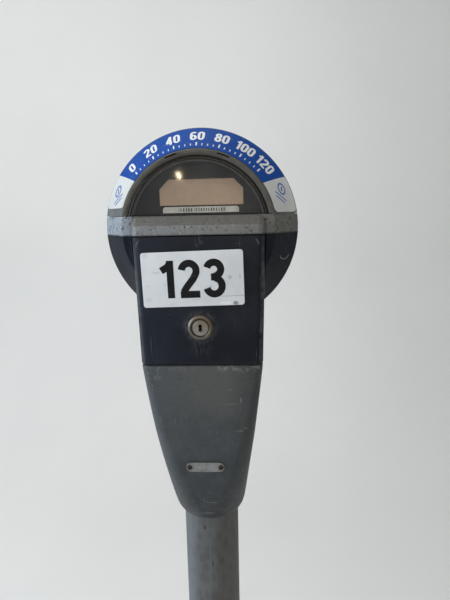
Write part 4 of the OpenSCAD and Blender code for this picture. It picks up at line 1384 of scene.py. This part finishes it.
def subdivide(path, step):
    dense = [path[0]]
    for a, b in zip(path, path[1:]):
        count = max(1, int(math.dist(a, b) / step))
        dense += [(a[0] + (b[0] - a[0]) * i / count, a[1] + (b[1] - a[1]) * i / count)
                  for i in range(1, count + 1)]
    return dense


def cone_place(degrees, share, turn=0.0):
    """Drawing plane wrapped on the cone, centred at an angle and share, turned in degrees."""
    cosine, sine = math.cos(math.radians(turn)), math.sin(math.radians(turn))

    def place(u, v, lift):
        along, outward = u * cosine - v * sine, u * sine + v * cosine
        return cone_point(degrees - math.degrees(along / (FACE_RADIUS + CONE_RUN * share)),
                          share + outward / CONE_SLANT, lift)
    return place


def make_dial_numerals():
    """Numbers 0 to 120 clockwise, a long tick under each and three short ones between."""
    marks = ["0", "20", "40", "60", "80", "100", "120"]
    first, last = 137.0, 43.0
    size, squeeze, stroke = 15.6, .66, .150
    tick_share = .155
    bm = bmesh.new()
    for k, text in enumerate(marks):
        a = first + (last - first) * k / (len(marks) - 1)
        place = cone_place(a, .585)
        for left, index, path, closed in strokes_of(text, .12):
            path = path if closed else subdivide(path, .12)
            # Crossing strokes get slightly different depths so no faces coincide
            draw(bm, [((left + x) * size * squeeze, (y - .5) * size) for x, y in path],
                 stroke * size, place, BAND_TOP - .02 * index, INK_TOP + .03 * index, closed)
        draw(bm, [(0, 0), (0, 5.6)], 1.3, cone_place(a, tick_share), BAND_TOP, INK_TOP)
        if k < len(marks) - 1:
            for quarter in (1, 2, 3):
                between = a + (last - first) / (len(marks) - 1) * quarter / 4
                draw(bm, [(0, 0), (0, 3.4)], .8, cone_place(between, tick_share),
                     BAND_TOP, INK_TOP)
    add_object("dial_numerals", to_mesh(bm, 1e-8), "ink_white", "lid", 30)


def make_coin_symbols():
    """On each white strip: a ring with a slot in it, above two bars."""
    bm = bmesh.new()
    ink_top = .50
    for degrees, turn in ((22.6, 46), (156.6, -46)):
        place = cone_place(degrees, .52, turn)
        draw(bm, arc(0, 4.2, 4.9, 4.9, 0, 360, 36)[:-1], 1.6, place, BAND_TOP, ink_top, True)
        draw(bm, [(0, 1.8), (0, 6.6)], 1.8, place, BAND_TOP, ink_top)
        for half_length, v in ((8.6, -3.8), (6.8, -7.2)):
            bar = subdivide([(-half_length, v), (half_length, v)], 1.5)
            draw(bm, bar, 1.25, place, BAND_TOP, ink_top)
    add_object("dial_coin_symbols", to_mesh(bm, 1e-8), "ink_blue", "lid", 30)


# Section of the window: radius, y, corner radius
WINDOW_SECTION = [
    (0, -55.6, 0), (62.6, -55.6, 2.6), (65.7, -54.2, 1.2), (65.7, -53.1, 0), (68.4, -52.9, .3),
    (68.4, -50.4, .3), (62.4, -50.4, .4), (61.6, -52.4, 1.5), (0, -52.6, 0)]


def make_window():
    """Shallow moulded dish, a bead round it and a black strip along its lower edge that stands in
    for shade in the seam.
    """
    pane = overlap(revolve(round_corners(WINDOW_SECTION, segments=6), 160),
                   box(x=(-120, 120), y=(-90, 0), z=(13.5, 120)))
    add_object("window_pane", pane, "window", "lid", 30, "front_window",
               weighted=True)
    bead = [(64.85, -55.25), (65.92, -55.5), (65.92, -54.3), (64.85, -54.75)]
    bead = overlap(revolve(bead, 160), box(x=(-120, 120), y=(-90, 0), z=(13.6, 120)))
    add_object("window_seal_bead", bead, "lid", "lid", 30)
    # Dark strip standing in for shade, keeping light from showing through the seam
    seam_outline = [(-66, 12.4), (67, 12.4), (67, 14.3), (-66, 14.3)]
    add_object("seam_shade_strip", prism(round_corners(seam_outline, .4, 2), "y", -46.6, -45.0),
               "rubber", "stand", 30)


make_bands()
make_dial_numerals()
make_coin_symbols()
make_window()

# ------------------------------------------------------------------ number plate and lock
PLATE_BACK = -63.05                # just proud of the door


def make_number_plate():
    matrix = (Matrix.Translation(point(-5.5, PLATE_BACK, -43.4))
              @ Matrix.Rotation(math.radians(-1.3), 4, "Y"))
    outline = round_corners([(-46, -25), (46, -25), (46, 25), (-46, 25)], 2.6, 8)
    add_object("number_plate_panel", thin_plate(outline, matrix, .35, both_rims=False),
               "plate", "vault_door", 35, "number_plate")

    def place(u, v, lift):
        return matrix @ Vector((u * MM, -(1.0 + lift) * MM, v * MM))

    size, stroke = 34.0, .188
    strokes = []
    for left, _, path, closed in strokes_of("123", .10):
        bm = bmesh.new()
        draw(bm, [((left + x) * size - .4, (y - .5) * size + .2) for x, y in path],
             stroke * size, place, -.05, .13, closed)
        strokes.append(to_mesh(bm, 1e-8))
    add_object("number_plate_digits", join(*strokes), "ink_black", "vault_door",
               30)


# Sections turned about the lock's axis: radius, depth behind the origin, corner radius
COLLAR_SECTION = [(8.1, 19, .2), (9.5, 19, .2), (9.5, .1, 0), (11.8, .1, .2), (11.5, -1.2, .6),
                  (10.0, -2.3, .5), (9.1, -2.45, .35), (8.1, -1.6, .25)]
PLUG_SECTION = [(0, 18, 0), (8.0, 18, .2), (8.0, -1.7, .3), (7.2, -2.0, .15), (6.9, -1.75, .1),
                (6.6, -1.75, .1), (6.3, -2.05, .15), (0, -2.0, 0)]
# Keyway outline round the lock's centre: x, z
KEYWAY = [(-1.5, -3.4), (1.7, -3.4), (1.7, -.6), (1.15, .1), (1.75, 1.4), (1.2, 3.3),
          (-1.1, 3.3), (-1.7, 1.6), (-1.2, .3), (-1.5, -.4)]
KEYWAY_FLOOR = [(-1.25, -3.4), (1.4, -3.4), (1.4, 3.1), (-1.25, 3.1)]


def make_vault_lock():
    collar = spin(round_corners(COLLAR_SECTION, segments=4), point(0, PLATE_BACK, LOCK_Z),
                  (0, 1, 0), 96)
    add_object("vault_lock_boss", collar, "lock_ring", "vault_door", 35,
               "vault_lock_collar")
    plug = spin(round_corners(PLUG_SECTION, segments=3), point(0, DOOR_FRONT, LOCK_Z),
                (0, 1, 0), 96)
    plug = join(plug, rod("y", 4, -46, -37.5, (0, LOCK_Z), 32))
    keyway = round_corners([(x, LOCK_Z + z) for x, z in KEYWAY], .35, 3)
    plug = cut(plug, prism(keyway, "y", -70, -50), rod("y", 1.25, -46, -30, (0, LOCK_Z), 16))
    add_object("vault_lock_plug", plug, "lock", "vault_lock", 30,
               "vault_lock_cylinder", weighted=True)
    keyway_floor = round_corners([(x, LOCK_Z + z) for x, z in KEYWAY_FLOOR], .2, 2)
    add_object("vault_lock_keyway_floor", prism(keyway_floor, "y", -59.5, -59.0), "keyway",
               "vault_lock", 30)


make_number_plate()
make_vault_lock()

# ------------------------------------------------------------------ CAD pieces kept as they are
# Piece: material, bevel width in mm
CAD_FINISHES = {
    "base_flange": ("post", .9), "socket_screws": ("dark_steel", .3),
    "housing_gasket": ("rubber", .15), "housing_bolts": ("zinc", .4),
    "coin_box_rails": ("zinc", .4), "vault_hinge_pins": ("zinc", .3),
    "vault_lock_cam": ("zinc", .4), "vault_cam_screw": ("dark_steel", .3),
    "coin_box": ("steel", .4), "coin_box_lid": ("steel", .3),
    "coin_box_handle": ("dark_steel", .3), "mechanism_frame": ("frame", .35),
    "mechanism_screws": ("zinc", .3), "display_mask": ("mask", .35),
    "lcd_panel": ("lcd", .2), "label_strip": ("label", .1),
    "display_board": ("board", .15), "control_board": ("board", .15),
    "battery_holder": ("dark_plastic", .4), "battery_cells": ("cell", .4),
    "coin_validator": ("dark_plastic", .6), "coin_chute": ("steel", .2),
    "rear_faceplate": ("faceplate", .5), "coin_entry_bezel": ("lock_ring", .4),
    "coin_gate_pin": ("zinc", .1), "coin_gate": ("zinc", .2),
    "rear_button": ("red", .6), "button_spring": ("zinc", 0),
    "lamp_lenses": ("lens", .2), "window_gasket": ("rubber", .2),
    "window_retainer": ("zinc", .2), "lid_seal": ("rubber", 0),
    "lid_catch": ("zinc", .3), "lid_catch_screws": ("zinc", .2),
    "lid_hinge_pin": ("zinc", .4), "hinge_pin_clips": ("dark_steel", .15),
    "lid_lock_cylinder": ("lock_ring", .4), "lid_lock_cam": ("zinc", .3),
    "lid_lock_nut": ("dark_steel", .3),
}


def finish_cad_piece(item, material, bevel_width):
    item.data.materials.clear()
    item.data.materials.append(MATERIALS[material])
    weld = item.modifiers.new("weld", "WELD")
    weld.merge_threshold = 2e-6
    if bevel_width:
        flat = item.modifiers.new("flat", "DECIMATE")
        flat.decimate_type = "DISSOLVE"
        flat.angle_limit = math.radians(.8)
        bevel = item.modifiers.new("bev", "BEVEL")
        bevel.width = bevel_width * MM
        bevel.segments = 3
        bevel.limit_method = "ANGLE"
        bevel.angle_limit = math.radians(40)
        bevel.harden_normals = False
        bevel.use_clamp_overlap = True
    item.data.shade_smooth()
    item.modifiers.new("wn", "WEIGHTED_NORMAL").keep_sharp = True


for piece, (material, bevel_width) in CAD_FINISHES.items():
    finish_cad_piece(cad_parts[piece], material, bevel_width)


# ------------------------------------------------------------------ stage
def stage_material():
    mat = start("stage_pale_plaster")
    color = mat.mix((.79, .785, .765), (.76, .755, .74),
                    mat.noise(scale=1.2, detail=4, rough=.55, fade=(.3, .7)))
    # Painted shade: the backdrop darker towards the right
    right = mat.x.fade(-.1, 1.3)
    color = color.tint((.54, .54, .53), right * .30)
    plaster = mat.principled(color=color, rough=.9,
                             bump=(mat.noise(scale=30, detail=4, rough=.6), .12, .002))
    # Far out the sweep fades to a plain tone for the camera, so none of its edges are seen
    backdrop = mat.add("Emission", {"Color": (.67, .673, .67)})
    far = (mat.length(mat.x, mat.y).fade(2.7, 5.2)
           * mat.add("LightPath", output="Is Camera Ray"))
    return mat.finish(mat.mix_shader(far, plaster, backdrop))


def make_floor():
    """Floor that curves up into a wall behind; metres."""
    half_width, bend_start, bend = 16, 1.2, 1.0
    profile = [(-16.0, 0.0), (bend_start, 0.0)]
    for k in range(1, 17):
        a = math.pi / 2 * k / 16
        profile.append((bend_start + bend * math.sin(a), bend - bend * math.cos(a)))
    profile.append((bend_start + bend, 9.0))
    material = stage_material()
    bm = bmesh.new()
    left, right = ([bm.verts.new((x, y, z)) for y, z in profile]
                   for x in (-half_width, half_width))
    for i in range(len(profile) - 1):
        bm.faces.new((left[i], right[i], right[i + 1], left[i + 1]))
    mesh = bpy.data.meshes.new("floor")
    bm.to_mesh(mesh)
    bm.free()
    floor = bpy.data.objects.new("pale_floor_sweep", mesh)
    bpy.context.scene.collection.objects.link(floor)
    mesh.materials.append(material)
    for polygon in mesh.polygons:
        polygon.use_smooth = True


def make_world():
    """Soft sky, cool from the left and dim from the right; the camera sees near-white."""
    world = bpy.data.worlds.new("soft_studio")
    bpy.context.scene.world = world
    sky = Shader(world)
    across = sky.split(sky.add("TexCoord", output="Generated"))[0].fade(-.75, .75)
    light = sky.mix((.86, .93, 1.0), (.56, .545, .52), across)
    seen = light.tint((1.08, 1.085, 1.08), sky.add("LightPath", output="Is Camera Ray"))
    background = sky.tree.nodes["Background"]
    sky.put(background.inputs["Color"], seen)
    sky.put(background.inputs["Strength"], .62)


def add_light(name, location, target, size, power, color, size_y=None):
    """Area light hidden from the camera; metres and watts."""
    data = bpy.data.lights.new(name, "AREA")
    data.energy = power
    data.color = color
    data.size = size
    if size_y:
        data.shape = "RECTANGLE"
        data.size_y = size_y
    light = bpy.data.objects.new(name, data)
    bpy.context.scene.collection.objects.link(light)
    light.location = location
    light.rotation_mode = "QUATERNION"
    light.rotation_quaternion = (Vector(target) - Vector(location)).to_track_quat("-Z", "Y")
    light.visible_camera = False


def make_lights():
    head = (0, 0, HEAD_Z - .05)
    add_light("window_left", (-2.0, -.75, HEAD_Z + .45), head, size=1.2, size_y=1.7, power=34,
              color=(.80, .89, 1.0))
    add_light("soft_front", (.5, -2.3, HEAD_Z + 1.4), head, size=1.6, size_y=1.0, power=9,
              color=(1, .97, .92))
    add_light("soft_top", (-.1, .3, HEAD_Z + 1.8), head, size=1.2, power=9, color=(1, .96, .9))
    add_light("wall_wash_left", (-1.6, .1, HEAD_Z + 1.7), (-1.3, 2.2, 1.0), size=1.6,
              size_y=1.0, power=18, color=(1, .985, .95))
    add_light("wall_wash_right", (1.6, .1, HEAD_Z + 1.7), (1.2, 2.2, 1.6), size=1.6,
              size_y=1.0, power=4, color=(1, .97, .92))
    add_light("lamp_spot", point(-243, -1634, 190), point(-16, -55, 48), size=.013, power=.11,
              color=(1, .80, .48))


def make_camera():
    """In front of the head, looking back and slightly down."""
    data = bpy.data.cameras.new("camera")
    data.sensor_width = 36
    data.lens = 26.87
    data.clip_start, data.clip_end = .02, 60
    camera = bpy.data.objects.new("camera", data)
    bpy.context.scene.collection.objects.link(camera)
    pitch, yaw, roll = math.radians(10.75), math.radians(2.73), math.radians(-1.2)
    forward = Vector((-math.sin(yaw) * math.cos(pitch), math.cos(yaw) * math.cos(pitch),
                      -math.sin(pitch)))
    level_right = Vector((math.cos(yaw), math.sin(yaw), 0))
    level_up = level_right.cross(forward)
    right = math.cos(roll) * level_right + math.sin(roll) * level_up
    up = -math.sin(roll) * level_right + math.cos(roll) * level_up
    turn = Matrix((right, up, -forward)).transposed()
    camera.matrix_world = Matrix.Translation(point(42.1, -460.5, 12.5)) @ turn.to_4x4()
    bpy.context.scene.camera = camera


make_floor()
make_world()
make_lights()
make_camera()

view = bpy.context.scene.view_settings
view.view_transform = "Standard"
view.look = "None"
view.exposure = 0.0
